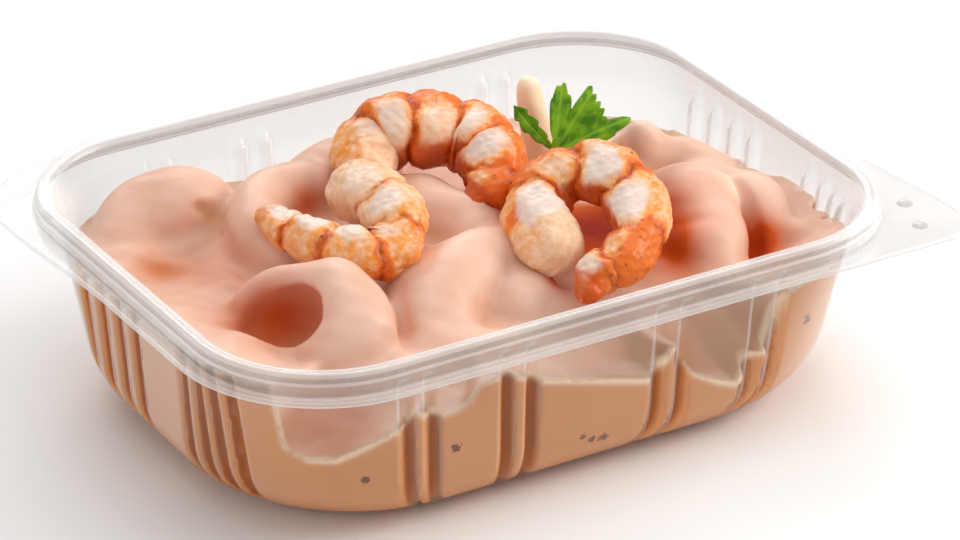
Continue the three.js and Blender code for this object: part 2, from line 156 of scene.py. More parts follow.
# Single orange and dark red spots on them: middle, size and strength.
BLUSH_SPOTS = ((3.4, -14.7, 38.1, 2.6, 1.1), (-24, -11, 40, 1.5, 0.7))
DEEP_SPOTS = ((3, 20, 45.7, 1.5, 0.9), (9.8, 2, 39, 1.8, 0.6))

# Rings of a bare prawn: steps along each segment, points round it and turns of its round ends.
SEGMENT_STEPS = 30
PRAWN_SIDES = 84
END_TURNS = (80, 60, 40, 20)

# White patch on a segment: its turn from the back, its width and its length in the segment.
PATCH_TURN = 1.9
PATCH_WIDTH = 0.8
PATCH_LENGTH = 0.34

# Unevenness of the heap and of a bare prawn: height, size of the lumps and seed.
HEAP_LUMPS = ((0.9, 15, 3), (0.18, 5, 8))
PRAWN_LUMPS = ((0.22, 5, 4), (0.11, 1.9, 6))

# Hollow under the hood, pointed at its left end.
HOLLOW = ((-53.6, -9.6, 29.4, 0.7), (-46.5, -13.2, 29.8, 5.6), (-41.6, -15.8, 29.6, 6.3))

# Creases between the coated prawns, as chains of points with their half width.
CREASES = (
    ((48.6, -15.5, 35, 0.9), (48.8, -19.5, 33, 1.3), (48.3, -22, 30.5, 1.8),
     (47.2, -24.5, 28, 2.3), (45.5, -27.5, 25.5, 2.6)),
    ((-21.5, -14, 34.3, 0.5), (-22.8, -18, 33, 0.7), (-24.3, -21.5, 31.6, 0.8),
     (-26, -25.5, 29.9, 0.8), (-28.6, -30.6, 28.6, 0.6), (-30.5, -35, 28.6, 0.3)),
    ((-36.8, 22.5, 30.6, 1.2), (-38.6, 18, 29.8, 1.4), (-40, 14, 28.8, 1.4), (-39.5, 7, 28, 1)),
    ((-37.4, 28.8, 31.2, 1), (-35.3, 26.8, 30.2, 1.5)),
    ((-55, 23.5, 29.3, 0.9), (-51.7, 19, 28.6, 2), (-48.2, 16.2, 27.6, 1.4)),
)

# The sauce's own level away from the wall, and how steeply distance grows over it.
SAUCE_LEVEL = 27
SAUCE_RISE = 0.85

# How softly the hollow and the creases are cut, and how the sauce lies round a bare prawn:
# the depth in the prawn from which it is drawn up, how softly, and the depth of its bed.
HOLLOW_BLEND = 0.9
CREASE_BLEND = 1.3
COLLAR_DEPTH = 1.4
COLLAR_BLEND = 2.5
BED_DEPTH = 0.5

# Box in which the sauce's skin is looked for.
HEAP_LOW = (-67, -50, -0.5)
HEAP_HIGH = (67, 50, 46.5)

# Ribs farther out than this get more painted shade in their grooves, as they are seen edge on.
END_RIBS_FROM = 56
END_RIBS_GAIN = 2.2

# Dark specks in the sauce where it lies on the wall: middle and half width.
SPECKS = (
    (-44.8, -44.6, 12.6, 0.7), (-28.2, -47.5, 15.5, 0.8), (-2.2, -46.9, 9.9, 0.6),
    (0, -46.5, 8.7, 0.7), (2.3, -46.4, 8.3, 0.9), (45.9, -45.5, 19.3, 1), (20, 47, 14, 0.8),
    (-33, 47.3, 17, 0.7), (62.5, 8, 12, 0.8), (-63, -12, 15, 0.7),
)

# Painted shading of the sauce: places painted orange red as shade in its hollows and under the
# prawns, or, with a strength below 0, painted paler as light: middle, size and strength.
PAINTED_SHADING = (
    (-46, -11.5, 28.5, 8, 0.9),
    (-38.6, -12, 28, 5.5, 0.55),
    (-51, 18, 27, 4, 0.35),
    (31, -24.5, 32, 5, 0.8),
    (34.5, -18.5, 34.5, 4, 0.5),
    (28.6, -29.4, 29.9, 6, 0.8),
    (47.5, -26.5, 26.5, 5.5, 1.5),
    (-46, 13, 27.5, 13, 0.35),
    (-27.5, -27, 31, 3, 0.4),
    (-47, -38, 23, 8, 0.45),
    (23.5, -8.5, 27.5, 11, 2),
    (27.7, 20.3, 42, 10, -1.6),
    (-18.5, 22, 30.5, 4, 0.8),
    (5, -25.7, 29, 3, 0.9),
    (46, -20.5, 33.5, 2.5, -0.6),
)

# Places in its hollows painted brown as shade: middle, size and strength.
BROWN_SHADE = (
    (-35.5, 27.2, 29.2, 3, 0.7),
    (-51, 18.2, 27, 5, 1.1),
    (-47.5, -41, 18.5, 7, 0.75),
    (5, -40, 23, 7, 0.4),
)

# Height at which the sauce meets the wall, by direction in degrees from +X.
CONTACT = (
    (0, 27), (14, 23), (30, 22.7), (47, 22.5), (56, 23.5), (90, 23.5), (112, 24), (140, 26),
    (160, 29), (180, 30), (200, 32), (213, 33), (213.9, 19.2), (217, 16.8), (221, 16.9),
    (226.6, 20.3), (230.4, 22.4), (232.7, 25), (235.5, 23), (239.3, 23.2), (241.6, 24.5),
    (243.4, 27.3), (249.4, 27.2), (252.6, 25.8), (257, 24), (283, 17.6), (285.2, 18.5),
    (288.2, 22.8), (291, 22.7), (293.4, 16.6), (299.4, 12.8), (302.4, 11.4), (303.6, 14),
    (305.5, 16.5), (308.2, 17), (309.4, 28), (313.2, 29), (325, 29), (337.5, 27.7), (345, 28.5),
    (360, 27),
)

# Parsley: the stem, the narrow blade as its tip with half width, number of teeth and bend,
# and the edge of the broad leaf by direction in degrees and distance from its root.
STEM = ((22.6, 3, 24, 0.9), (22.8, 3.2, 33, 0.9), (23.2, 3.8, 38, 0.8), (24, 4.6, 40.4, 0.7))
LEAF_ROOT = (23.2, 3.9, 38)
LEAF_FACING = (-0.361, -0.591, 0.721)
LEAF_ALONG = (0.931, -0.188, 0.311)
NARROW_BLADE = ((20.2, 13.4, 44), 1.6, 4, -0.6)
LEAF_EDGE = (
    (-24, 4.5), (-20, 7), (-14, 10.4), (-9, 11.8), (0, 16.6), (5, 13.6), (9, 11.8), (17, 12.6),
    (26, 13.2), (38, 15.2), (41, 11.4), (43, 9.2), (48, 11.4), (57, 14.4), (62, 13), (67, 10.6),
    (70, 7), (72, 4.5),
)
LOBES = (0, 33, 57)

# Colours as a screen shows them, from 0 to 255.
COLOURS = {
    "plastic_painted_highlight": (248, 247, 246),
    "plastic_painted_shade": (212, 128, 34),
    "sauce": (234, 192, 170),
    "sauce_cloud": (225, 178, 152),
    "sauce_crest_highlight": (242, 216, 202),
    "sauce_recess_shade": (200, 120, 72),
    "sauce_shade": (198, 136, 84),
    "sauce_painted_light": (255, 228, 198),
    "sauce_shade_orange": (204, 84, 14),
    "sauce_deepest_shade": (150, 34, 4),
    "sauce_on_wall": (217, 147, 88),
    "sauce_groove_shade": (176, 86, 8),
    "sauce_meniscus_highlight": (255, 230, 200),
    "sauce_speck": (116, 66, 42),
    "prawn_flesh": (245, 208, 174),
    "prawn_streak": (235, 182, 140),
    "prawn_blush": (242, 148, 46),
    "prawn_orange": (230, 106, 8),
    "prawn_white": (230, 212, 202),
    "prawn_deep": (202, 78, 4),
    "prawn_seam": (150, 52, 14),
    "prawn_speck": (122, 50, 24),
    "leaf_cloud": (62, 112, 6),
    "leaf_vein": (150, 190, 60),
}

# Camera: bearing and height above the table in degrees, distance, lens and the point aimed at.
VIEW_BEARING = -30.93
VIEW_HEIGHT = 27.309
VIEW_DISTANCE = 904.227
VIEW_LENS = 183.75
VIEW_TARGET = (10.023, 8.566, 15)

# Lights round the part: place and size in metres, setting of the power, share of it and tone.
LIGHTS = {
    "key": ((0.62, -0.28, 0.42), (0.45, 0.45), "key_power", 1, (1, 0.97, 0.93)),
    "rim": ((0.25, 0.75, 0.6), (0.7, 0.4), "fill_power", 1.4, (1, 1, 1)),
    "top": ((0, 0.1, 0.9), (0.9, 0.9), "fill_power", 1, (1, 1, 1)),
    "left": ((-0.7, -0.25, 0.25), (0.6, 0.5), "fill_power", 0.45, (1, 1, 1)),
}
FLOOR_HALF = 6.0
FLOOR_DROP = 0.0002


# ---------------------------------------------------------------- numbers


def smooth(x, start, stop):
    """Eased step from 0 at start to 1 at stop."""
    t = np.clip((x - start) / (stop - start), 0, 1)
    return t * t * (3 - 2 * t)


def lerp(a, b, t):
    """Value at a share of the way from a to b."""
    return a + (b - a) * t


def bump(distance, width):
    """Round bump, 1 in its middle."""
    return np.exp(-((distance / width) ** 2))


def in_mm(size):
    """Millimetres of a setting, which is held in metres."""
    return round(size / MM, 4)


def unit(vectors):
    """Vectors along the last axis, each made 1 long."""
    return vectors / np.maximum(np.linalg.norm(vectors, axis=-1, keepdims=True), 1e-12)


def curve_points(points, count):
    """Points of a smooth curve through the given rows, each with all its columns."""
    rows = np.array(points, float)
    ends = [2 * rows[:1] - rows[1:2], rows, 2 * rows[-1:] - rows[-2:-1]]
    padded = np.concatenate(ends)
    place = np.linspace(0, len(rows) - 1, count)
    index = np.minimum(place.astype(int), len(rows) - 2)
    t = (place - index)[:, None]
    p0, p1, p2, p3 = (padded[index + k] for k in range(4))
    return 0.5 * (
        2 * p1
        + (p2 - p0) * t
        + (2 * p0 - 5 * p1 + 4 * p2 - p3) * t**2
        + (3 * p1 - p0 - 3 * p2 + p3) * t**3
    )


def unevenness(x, y, z, lumps, waves=9):
    """Smooth uneven heights about 0, each row of lumps giving its height, size and seed."""
    total = np.zeros(np.shape(x))
    for height, size, seed in lumps:
        rng = np.random.default_rng(seed)
        layer = np.zeros(np.shape(x))
        for _ in range(waves):
            way = unit(rng.normal(size=3)) * rng.uniform(0.6, 1.4) * 2 * math.pi / size
            layer += np.sin(x * way[0] + y * way[1] + z * way[2] + rng.uniform(0, 2 * math.pi))
        total += height * layer / math.sqrt(waves)
    return total


def soft_min(a, b, blend):
    """Smaller of two distances, rounded over where they are alike."""
    h = np.clip(0.5 + 0.5 * (b - a) / blend, 0, 1)
    return b + (a - b) * h - blend * h * (1 - h)


def spots(points, rows):
    """Sum of soft round spots, each given by its middle, size and strength."""
    total = np.zeros(len(points))
    for *middle, size, strength in rows:
        total += strength * bump(np.linalg.norm(points - middle, axis=1), size)
    return total


# ---------------------------------------------------------------- meshes


def link_object(name, data):
    made = bpy.data.objects.new(name, data)
    bpy.context.scene.collection.objects.link(made)
    return made


def make_piece(name, points, faces, material=None, attributes=None, edges=()):
    """Object with its place in its mesh, from points in millimetres of the tray."""
    mesh = bpy.data.meshes.new(name)
    placed = (np.asarray(points, float) + (CENTRE_SHIFT, 0, 0)) * MM
    mesh.from_pydata(placed.tolist(), edges, faces)
    for key, values in (attributes or {}).items():
        values = np.asarray(values, np.float32)
        kind, field = ("FLOAT_VECTOR", "vector") if values.ndim == 2 else ("FLOAT", "value")
        layer = mesh.attributes.new(key, kind, "POINT")
        layer.data.foreach_set(field, values.ravel())
    mesh.validate()
    mesh.shade_smooth()
    if material:
        mesh.materials.append(material)
    return link_object(name, mesh)


def keep_modified(piece):
    """Turns what a piece's modifiers make of it into its plain mesh."""
    bpy.context.view_layer.update()
    graph = bpy.context.evaluated_depsgraph_get()
    made = bpy.data.meshes.new_from_object(piece.evaluated_get(graph))
    piece.modifiers.clear()
    piece.data = made
    made.name = piece.name


def circle(sides):
    """Points of a round of radius 1, as their two parts."""
    turn = np.linspace(0, 2 * math.pi, sides, endpoint=False)
    return np.cos(turn), np.sin(turn)


def loft(rings):
    """Closed skin over equal rings: their points, then the two end middles, and the faces."""
    sides = len(rings[0])
    total = len(rings) * sides
    last = total - sides
    faces = []
    for i in range(sides):
        j = (i + 1) % sides
        faces += [(s + i, s + j, s + sides + j, s + sides + i) for s in range(0, last, sides)]
        faces += [(total, j, i), (total + 1, last + i, last + j)]
    return np.concatenate([*rings, [rings[0].mean(0), rings[-1].mean(0)]]), faces


def finish_piece(piece, slot, *nodes):
    """Attaches a piece to the root body and hides the imported parts that it stands in for."""
    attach(piece, "root")
    if nodes:
        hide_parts(*nodes)


# ---------------------------------------------------------------- node trees


def operator_pair(operation):
    """An operator that adds a Math node with an operation, and its reflected form."""

    def forward(wire, other):
        return wire.board.math(operation, wire, other)

    def reflected(wire, other):
        return wire.board.math(operation, other, wire)

    return forward, reflected


class Wire:
    """An output socket that Python's operators join to others through Math nodes."""

    __add__, __radd__ = operator_pair("ADD")
    __sub__, __rsub__ = operator_pair("SUBTRACT")
    __mul__, __rmul__ = operator_pair("MULTIPLY")
    __truediv__, __rtruediv__ = operator_pair("DIVIDE")
    __pow__, __rpow__ = operator_pair("POWER")

    def __init__(self, board, socket):
        self.board = board
        self.socket = socket

    def clamp(self):
        return self.board.math("MINIMUM", self.board.math("MAXIMUM", self, 0.0), 1.0)

    def step(self, start, stop):
        """Eased step from 0 at start to 1 at stop."""
        settings = {"interpolation_type": "SMOOTHSTEP"}
        sockets = {0: self, 1: start, 2: stop, 3: 0.0, 4: 1.0}
        return self.board.node("ShaderNodeMapRange", settings, sockets)


class Board:
    """A node tree being filled: node() adds one node and gives one of its outputs."""

    def __init__(self, tree):
        self.tree = tree

    def node(self, kind, settings=None, sockets=None, output=0):
        made = self.tree.nodes.new(kind)
        for key, value in (settings or {}).items():
            setattr(made, key, value)
        for key, value in (sockets or {}).items():
            if isinstance(value, Wire):
                self.tree.links.new(value.socket, made.inputs[key])
            else:
                made.inputs[key].default_value = value
        return Wire(self, made.outputs[output]) if len(made.outputs) else None

    def math(self, operation, *values):
        return self.node("ShaderNodeMath", {"operation": operation}, dict(enumerate(values)))

    def attributes(self, *names):
        """Values that a mesh holds under the names."""
        kind = "ShaderNodeAttribute"
        return [self.node(kind, {"attribute_name": name}, output="Fac") for name in names]

    def noise(self, scale, detail, roughness=0.5):
        """Cloudy values fixed to the piece, with so many clouds in a metre."""
        place = self.node("ShaderNodeTexCoord", output="Object")
        sockets = {"Vector": place, "Scale": scale, "Detail": detail, "Roughness": roughness}
        return self.node("ShaderNodeTexNoise", None, sockets, "Fac")

    def paint(self, base, *coats):
        """Colour with coats over it, each the share that it covers and its colour."""
        for cover, coat in coats:
            sockets = {0: cover, 6: base, 7: opaque(coat)}
            base = self.node("ShaderNodeMix", {"data_type": "RGBA"}, sockets, 2)
        return base

    def bump(self, height, strength, distance):
        sockets = {"Strength": strength, "Distance": distance, "Height": height}
        return self.node("ShaderNodeBump", None, sockets)

    def principled(self, sockets):
        return self.node("ShaderNodeBsdfPrincipled", None, sockets)

    def show(self, surface):
        self.node("ShaderNodeOutputMaterial", None, {"Surface": surface})


def linear(part):
    """Linear value of a screen value, both from 0 to 1."""
    return part / 12.92 if part <= 0.04045 else ((part + 0.055) / 1.055) ** 2.4


def colour(name):
    """Linear colour under a name, without alpha."""
    return tuple(linear(part / 255) for part in COLOURS[name])


def opaque(chosen):
    """Colour of a name or a setting with a full alpha."""
    return (*(colour(chosen) if isinstance(chosen, str) else chosen), 1.0)


def new_finish(name):
    """Empty material with its board."""
    material = bpy.data.materials.new(name)
    material.use_nodes = True
    material.node_tree.nodes.clear()
    return material, Board(material.node_tree)


# ---------------------------------------------------------------- finishes


def clear_plastic_finish(settings):
    """Clear sheet: milky rim, painted highlights on outer bends, painted grey shade on inner bends.
    """
    material, board = new_finish("clear_plastic")
    milk, line, rib, wet, low = board.attributes("milk", "line", "rib", "wet", "low")
    # Painted warm shade: the sheet turns orange where sauce lies behind its ribs and base fillet,
    # standing in for the shade there.
    painted_warm_shade = wet * (low + rib).clamp()
    facing = board.node("ShaderNodeLayerWeight", None, {"Blend": 0.5}, "Facing")
    # Painted highlight along the outer bends, and painted grey shade along the inner bends where
    # the line is below 0.
    bright, dark = line.clamp(), (0 - line).clamp()
    base = board.paint(
        opaque(settings.tint),
        # White where the sheet is seen edge on is its haze and partly a painted reflection; along
        # the outer bends it is a painted highlight.
        ((facing.step(0.3, 0.75) * 0.9 + bright).clamp(), "plastic_painted_highlight"),
        # Painted warm shade over the sauce behind the ribs and the base fillet.
        (painted_warm_shade * 0.75, "plastic_painted_shade"),
    )
    gloss = board.principled(
        {
            "Base Color": base,
            "Roughness": settings.roughness,
            "IOR": 1.5,
            "Specular IOR Level": 0.6,
        }
    )
    clear = board.node("ShaderNodeBsdfTransparent")
    edge = facing**2.0 * settings.edge * (1.0 - painted_warm_shade * 0.45)
    # The painted highlights and painted grey shade of the bends also make the sheet less clear.
    cover = settings.haze + milk * settings.milk + edge + bright * 0.09 + dark * 0.1 + rib * 0.05
    board.show(board.node("ShaderNodeMixShader", None, {0: cover.clamp(), 1: clear, 2: gloss}))
    return material


def sauce_finish(settings):
    """Creamy pink sauce, tan on the wall, with painted shade in hollows and painted highlights."""
    material, board = new_finish("sauce")
    recess, wall, groove, warm, behind, rim, speck = board.attributes(
        "recess", "wall", "groove", "warm", "behind", "meniscus", "speck"
    )
    cloud = board.noise(90.0, 3.0)
    grain = board.noise(700.0, 3.0)
    ragged = (board.noise(1400.0, 1.0) - 0.5) * 1.4
    base = board.paint(
        opaque(settings.cream),
        (cloud.step(0.3, 0.7), "sauce_cloud"),
        # Painted highlight: a pale sheen on the rounded crests.
        ((0 - recess).step(0.2, 1.6) * 0.55, "sauce_crest_highlight"),
        # Painted shade in the hollows and creases.
        (recess.step(0.5, 2.2) * 0.55, "sauce_recess_shade"),
        # Painted brown shade where it slopes back from the wall and in the listed hollows.
        (behind * 0.85, "sauce_shade"),
        # Painted light: paler cream where the listed spots have a strength below 0.
        ((0 - warm).clamp(), "sauce_painted_light"),
        # Painted shade, orange red, in the hollows and under the prawns.
        ((warm + (cloud - 0.5) * warm * 0.6).clamp(), settings.shaded),
        # Deepest painted shade, darker red, where that shade is strongest.
        ((warm - 0.9).clamp(), "sauce_deepest_shade"),
        (wall * 0.9, "sauce_on_wall"),
        # Painted shade, dark brown, in the rib grooves on the wall.
        (wall * groove.step(0.25, 0.9) * 0.85, "sauce_groove_shade"),
        # Painted highlight along the edge where the sauce meets the wall.
        (rim * 0.9, "sauce_meniscus_highlight"),
        ((speck + ragged).step(0.35, 0.6) * speck.step(0.1, 0.3), "sauce_speck"),
    )
    soft = board.principled(
        {
            "Base Color": base,
            "Roughness": warm.clamp() * 0.4 + settings.roughness,
            "Subsurface Weight": settings.softness,
            "Subsurface Radius": (1.0, 0.45, 0.25),
            "Subsurface Scale": 0.002,
            "Specular IOR Level": 0.22,
            "Normal": board.bump(grain, 0.12, 0.0004),
        }
    )
    board.show(soft)
    return material


def prawn_finish(settings):
    """Cream flesh, white on top of each segment, orange over the back, dark red inside."""
    material, board = new_finish("prawn_flesh")
    white, orange, deep, seam = board.attributes("white", "orange", "deep", "seam")
    blotch = board.noise(230.0, 4.0, 0.6)
    streak = board.noise(620.0, 4.0, 0.7)
    ragged = (blotch - 0.5) * 1.1
    blush = (orange + ragged).step(0.1, 0.75) * (0.45 + streak.step(0.42, 0.6) * 0.5)
    speck = board.noise(900.0, 1.0).step(0.68, 0.74) * (orange + ragged).step(0.5, 0.9)
    base = board.paint(
        opaque(settings.flesh),
        (streak.step(0.35, 0.7), "prawn_streak"),
        (blush, "prawn_blush"),
        ((orange + ragged * 1.3).step(0.75, 1.2) * 0.9, settings.orange),
        ((white + ragged * 0.7).step(0.15, 1.15) * 0.85, "prawn_white"),
        ((deep + ragged * 0.8).step(0.35, 0.95) * 0.9, "prawn_deep"),
        (seam * (blotch + streak - 0.35).step(0.4, 0.8) * 0.8, "prawn_seam"),
        (speck * 0.6, "prawn_speck"),
    )
    flesh = board.principled(
        {
            "Base Color": base,
            "Roughness": settings.roughness,
            "Subsurface Weight": 0.1,
            "Subsurface Radius": (1.0, 0.5, 0.3),
            "Subsurface Scale": 0.0015,
            "Specular IOR Level": 0.25,
            "Coat Weight": 0.14,
            "Coat Roughness": 0.1,
            "Normal": board.bump(streak + blotch, 0.3, 0.0007),
        }
    )
    board.show(flesh)
    return material


def leaf_finish(settings):
    """Bright satin green with paler veins."""
    material, board = new_finish("leaf")
    (vein,) = board.attributes("vein")
    cloud = board.noise(350.0, 3.0)
    base = board.paint(
        opaque(settings.green),
        (cloud.step(0.35, 0.65), "leaf_cloud"),
        (vein * 0.5, "leaf_vein"),
    )
    blade = board.principled(
        {
            "Base Color": base,
            "Roughness": 0.55,
            "Specular IOR Level": 0.12,
            "Normal": board.bump(cloud - vein * 0.6, 0.4, 0.0004),
        }
    )
    board.show(blade)
    return material


def floor_finish(settings):
    """Pale grey and matt, with faint clouds."""
    material, board = new_finish("pale_floor")
    tone = board.paint(opaque(settings.floor), (board.noise(3.0, 1.0), (0.93, 0.93, 0.93)))
    board.show(board.principled({"Base Color": tone, "Roughness": 0.9}))
    return material


# ---------------------------------------------------------------- tray shape


def outline_at(angles, outline):
    """Points of a rounded rectangle in the directions of angles, with outward normals."""
    a, b, corner = (np.broadcast_to(outline[key], angles.shape) for key in ("a", "b", "corner"))
    c, s = np.abs(np.cos(angles)), np.abs(np.sin(angles))
    cx, cy = a - corner, b - corner
    along = cx * c + cy * s
    root = np.sqrt(np.maximum(along**2 - cx**2 - cy**2 + corner**2, 0))
    reach = along + root
    nx, ny = (reach * c - cx) / corner, (reach * s - cy) / corner
    short = a * s <= cy * c
    long = ~short & (b * c <= cx * s)
    reach = np.where(short, a / np.maximum(c, 1e-9), np.where(long, b / np.maximum(s, 1e-9), reach))
    nx = np.where(short, 1, np.where(long, 0, nx)) * np.sign(np.cos(angles))
    ny = np.where(short, 0, np.where(long, 1, ny)) * np.sign(np.sin(angles))
    x, y = reach * np.cos(angles), reach * np.sin(angles)
    return np.stack([x, y], 1), np.stack([nx, ny], 1)


def grown(outline, amount):
    """Rounded rectangle with all its sides moved outwards."""
    return {key: outline[key] + amount for key in ("a", "b", "corner")}


def body_outline(z):
    """Rounded rectangle of the wall's outer face at a height."""
    return {key: lerp(BODY_BASE[key], BODY_TOP[key], z / BODY_TOP_Z) for key in BODY_BASE}


def flange_outline(angles):
    """Two corners of the flange reach out as ears for lifting a lid."""
    c, s = np.cos(angles), np.sin(angles)
    side = FLANGE["a"] * s / np.maximum(np.abs(c), 1e-6)
    left, right = (c < 0) & (s > 0), (c > 0) & (s < 0.2)
    a = np.full(angles.shape, float(FLANGE["a"]))
    corner = np.full(angles.shape, float(FLANGE["corner"]))
    for ear, here, along in ((LEFT_EAR, left, side), (RIGHT_EAR, right, -side)):
        share = smooth(along, ear["start"], ear["stop"])
        a = np.where(here, a + ear["reach"] * share, a)
        corner = np.where(here & (along > 0), ear["corner"], corner)
    return {"a": a, "b": np.full(angles.shape, float(FLANGE["b"])), "corner": corner}


def even_angles(pitch):
    """Directions at which the body's outline is cut into nearly equal steps."""
    fine = np.linspace(-math.pi, math.pi, 20001)
    points, _ = outline_at(fine, body_outline(BODY_TOP_Z / 2))
    lengths = np.concatenate([[0], np.cumsum(np.linalg.norm(np.diff(points, axis=0), axis=1))])
    count = int(lengths[-1] / pitch)
    return np.interp(np.linspace(0, lengths[-1], count, endpoint=False), lengths, fine)


def rib_share(turn):
    """Share of a rib's depth at a turn of the base fillet, which is 0 at the wall."""
    return float(np.interp(turn, *zip(*RIB_SHARES)))


class Section:
    """Rings of the tray from the middle of the base outwards.

    Each row holds the ring's points, its outward normals, how far ribs are pressed into it,
    and its looks: how milky it is and how strong the painted highlight along its line is, or,
    below 0, the painted grey shade.
    """

    def __init__(self, angles):
        self.angles = angles
        self.rows = []

    def add(self, outline, z, inset=0, share=0, scale=1, look=(0, 0)):
        """Adds a ring that follows an outline at a height."""
        at, normal = outline_at(self.angles, outline)
        ring = np.column_stack([(at - normal * inset) * scale, np.full(len(at), float(z))])
        self.rows.append((ring, np.column_stack([normal, np.zeros(len(at))]), share, look))

    def add_base(self, inset=0):
        """Flat base and its fillet, set in by an amount that is 0 on the outer face."""
        radius = BASE_FILLET - inset
        for scale in BASE_SCALES:
            self.add(body_outline(inset), inset, BASE_FILLET, 0, scale)
        for turn in FILLET_TURNS:
            z = BASE_FILLET - radius * math.sin(math.radians(turn))
            reach = BASE_FILLET - radius * math.cos(math.radians(turn))
            self.add(body_outline(z), z, reach, rib_share(turn))

    def round_corners(self, radii, steps=4):
        """Turns rings into arcs, by a radius for each ring's number."""
        rows = []
        for k, (ring, normal, share, (milk, line)) in enumerate(self.rows):
            if k not in radii:
                rows.append(self.rows[k])
                continue
            legs = []
            for other in (self.rows[k - 1][0], self.rows[k + 1][0]):
                way = other - ring
                length = np.linalg.norm(way, axis=1, keepdims=True)
                legs.append(way / length * np.minimum(radii[k], 0.45 * length))
            before, after = legs
            arc = [(before * 1.3, 0)]
            for t in np.linspace(0, 1, steps + 1):
                arc.append((before * (1 - t) ** 2 + after * t**2, line))
            arc.append((after * 1.3, 0))
            rows += [(ring + shift, normal, share, (milk, mark)) for shift, mark in arc]
        self.rows = rows


def tray_section(sheet, pitch):
    """The whole skin of the tray: outside from base to flange, then inside back down."""
    section = Section(even_angles(pitch))
    wall = np.linspace(BASE_FILLET, RIB_TOP, 7)[1:]
    fade = np.linspace(RIB_TOP, NECK, 5)[1:]
    land = grown(RIM, -RIM_LAND)
    radii = {}

    def bend(outline, z, radius, line):
        """A ring where the sheet turns, with a painted highlight or, below 0, painted grey shade on
        its bend.
        """
        radii[len(section.rows)] = radius
        section.add(outline, z, look=(1, line))

    def add_wall(inset, heights):
        """Rings of the wall, milky and without ribs towards the neck."""
        for z in heights:
            share = 1 - smooth(z, RIB_TOP, NECK)
            milk = MILKY_WALL * float(smooth(z, MILKY_FROM, NECK))
            section.add(body_outline(z), z, inset, float(share), look=(milk, 0))

    flange = flange_outline(section.angles)
    section.add_base()
    add_wall(0, [*wall, *fade])
    bend(grown(land, sheet), RIM_TOP - sheet, 0.6, -0.5)
    bend(grown(RIM, -sheet), RIM_TOP - sheet, 0.6, 0.3)
    bend(grown(RIM, -sheet), STEP_TOP, 0.3, -0.6)
    bend(grown(RIM, RIM_STEP - sheet), STEP_TOP - RIM_STEP, 0.3, 0.4)
    bend(grown(RIM, RIM_STEP - sheet), FLANGE_TOP - sheet, 0.5, -0.9)
    section.add(grown(flange, -sheet), FLANGE_TOP - sheet, look=(1, 0))
    section.add(flange, FLANGE_TOP - FLANGE_EDGE, look=(1, 1))
    bend(flange, FLANGE_TOP, 0.4, 1)
    bend(grown(RIM, RIM_STEP), FLANGE_TOP, 0.5, -0.9)
    bend(grown(RIM, RIM_STEP), STEP_TOP - RIM_STEP, 0.3, 0.9)
    bend(RIM, STEP_TOP, 0.3, -0.7)
    bend(RIM, RIM_TOP, 0.7, 0.9)
    bend(land, RIM_TOP, 0.9, 1)
    add_wall(sheet, [*fade[::-1], *wall[::-1]])
    inner = Section(section.angles)
    inner.add_base(sheet)
    section.rows += inner.rows[::-1]
    section.round_corners(radii)
    return section


def rib_centres():
    """Middle of each rib on the wall's outline at half height."""
    half = body_outline(BODY_TOP_Z / 2)
    found = []
    for side in (-1, 1):
        for x in (*RIBS_LONG_SIDE, *(-x for x in RIBS_LONG_SIDE)):
            found.append((x, side * half["b"]))
        for y in RIBS_SHORT_SIDE:
            into = max(0.0, abs(y) - (half["b"] - half["corner"]))
            x = half["a"] - half["corner"] + math.sqrt(half["corner"] ** 2 - into**2)
            found.append((side * x, y))
    return np.array(found)


def rib_lines():
    """Rib middle lines on the outer face from the base to the rim, as points and edges."""
    points, edges = [], []
    for x, y in rib_centres():
        section = Section(np.array([math.atan2(y, x)]))
        section.add_base()
        for z in np.linspace(BASE_FILLET, NECK, 8)[1:]:
            section.add(body_outline(z), z)
        line = np.concatenate([ring for ring, *_ in section.rows[len(BASE_SCALES) :]])
        edges += [(len(points) + k, len(points) + k + 1) for k in range(len(line) - 1)]
        points += line.tolist()
    return np.array(points), edges


def rib_tree():
    """Geometry nodes that press a rounded groove into a skin along lines."""
    tree = bpy.data.node_groups.new("pressed_ribs", "GeometryNodeTree")
    tree.is_modifier = True
    for name, way, kind in (
        ("Skin", "INPUT", "Geometry"),
        ("Rib Lines", "INPUT", "Object"),
        ("Width", "INPUT", "Float"),
        ("Depth", "INPUT", "Float"),
        ("Material", "INPUT", "Material"),
        ("Skin", "OUTPUT", "Geometry"),
    ):
        tree.interface.new_socket(name, in_out=way, socket_type="NodeSocket" + kind)
    board = Board(tree)
    source = tree.nodes.new("NodeGroupInput")
    skin, lines, width, depth, material = (Wire(board, socket) for socket in source.outputs[:5])

    def held(name, kind):
        return board.node("GeometryNodeInputNamedAttribute", {"data_type": kind}, {"Name": name})

    shape = board.node("GeometryNodeObjectInfo", None, {"Object": lines}, "Geometry")
    near = board.node(
        "GeometryNodeProximity", {"target_element": "EDGES"}, {"Geometry": shape}, "Distance"
    )
    groove = (1 - near / (width * 0.5)).step(0.0, 0.8) * held("rib_share", "FLOAT")
    offset = board.node(
        "ShaderNodeVectorMath",
        {"operation": "SCALE"},
        {0: held("inward", "FLOAT_VECTOR"), 3: groove * depth},
    )
    marked = board.node(
        "GeometryNodeStoreNamedAttribute",
        {"data_type": "FLOAT", "domain": "POINT"},
        {"Geometry": skin, "Name": "rib", "Value": groove},
    )
    moved = board.node("GeometryNodeSetPosition", None, {"Geometry": marked, "Offset": offset})
    real = board.node("GeometryNodeRealizeInstances", None, {0: moved})
    dressed = board.node("GeometryNodeSetMaterial", None, {"Geometry": real, "Material": material})
    board.node("NodeGroupOutput", None, {0: dressed})
    return tree


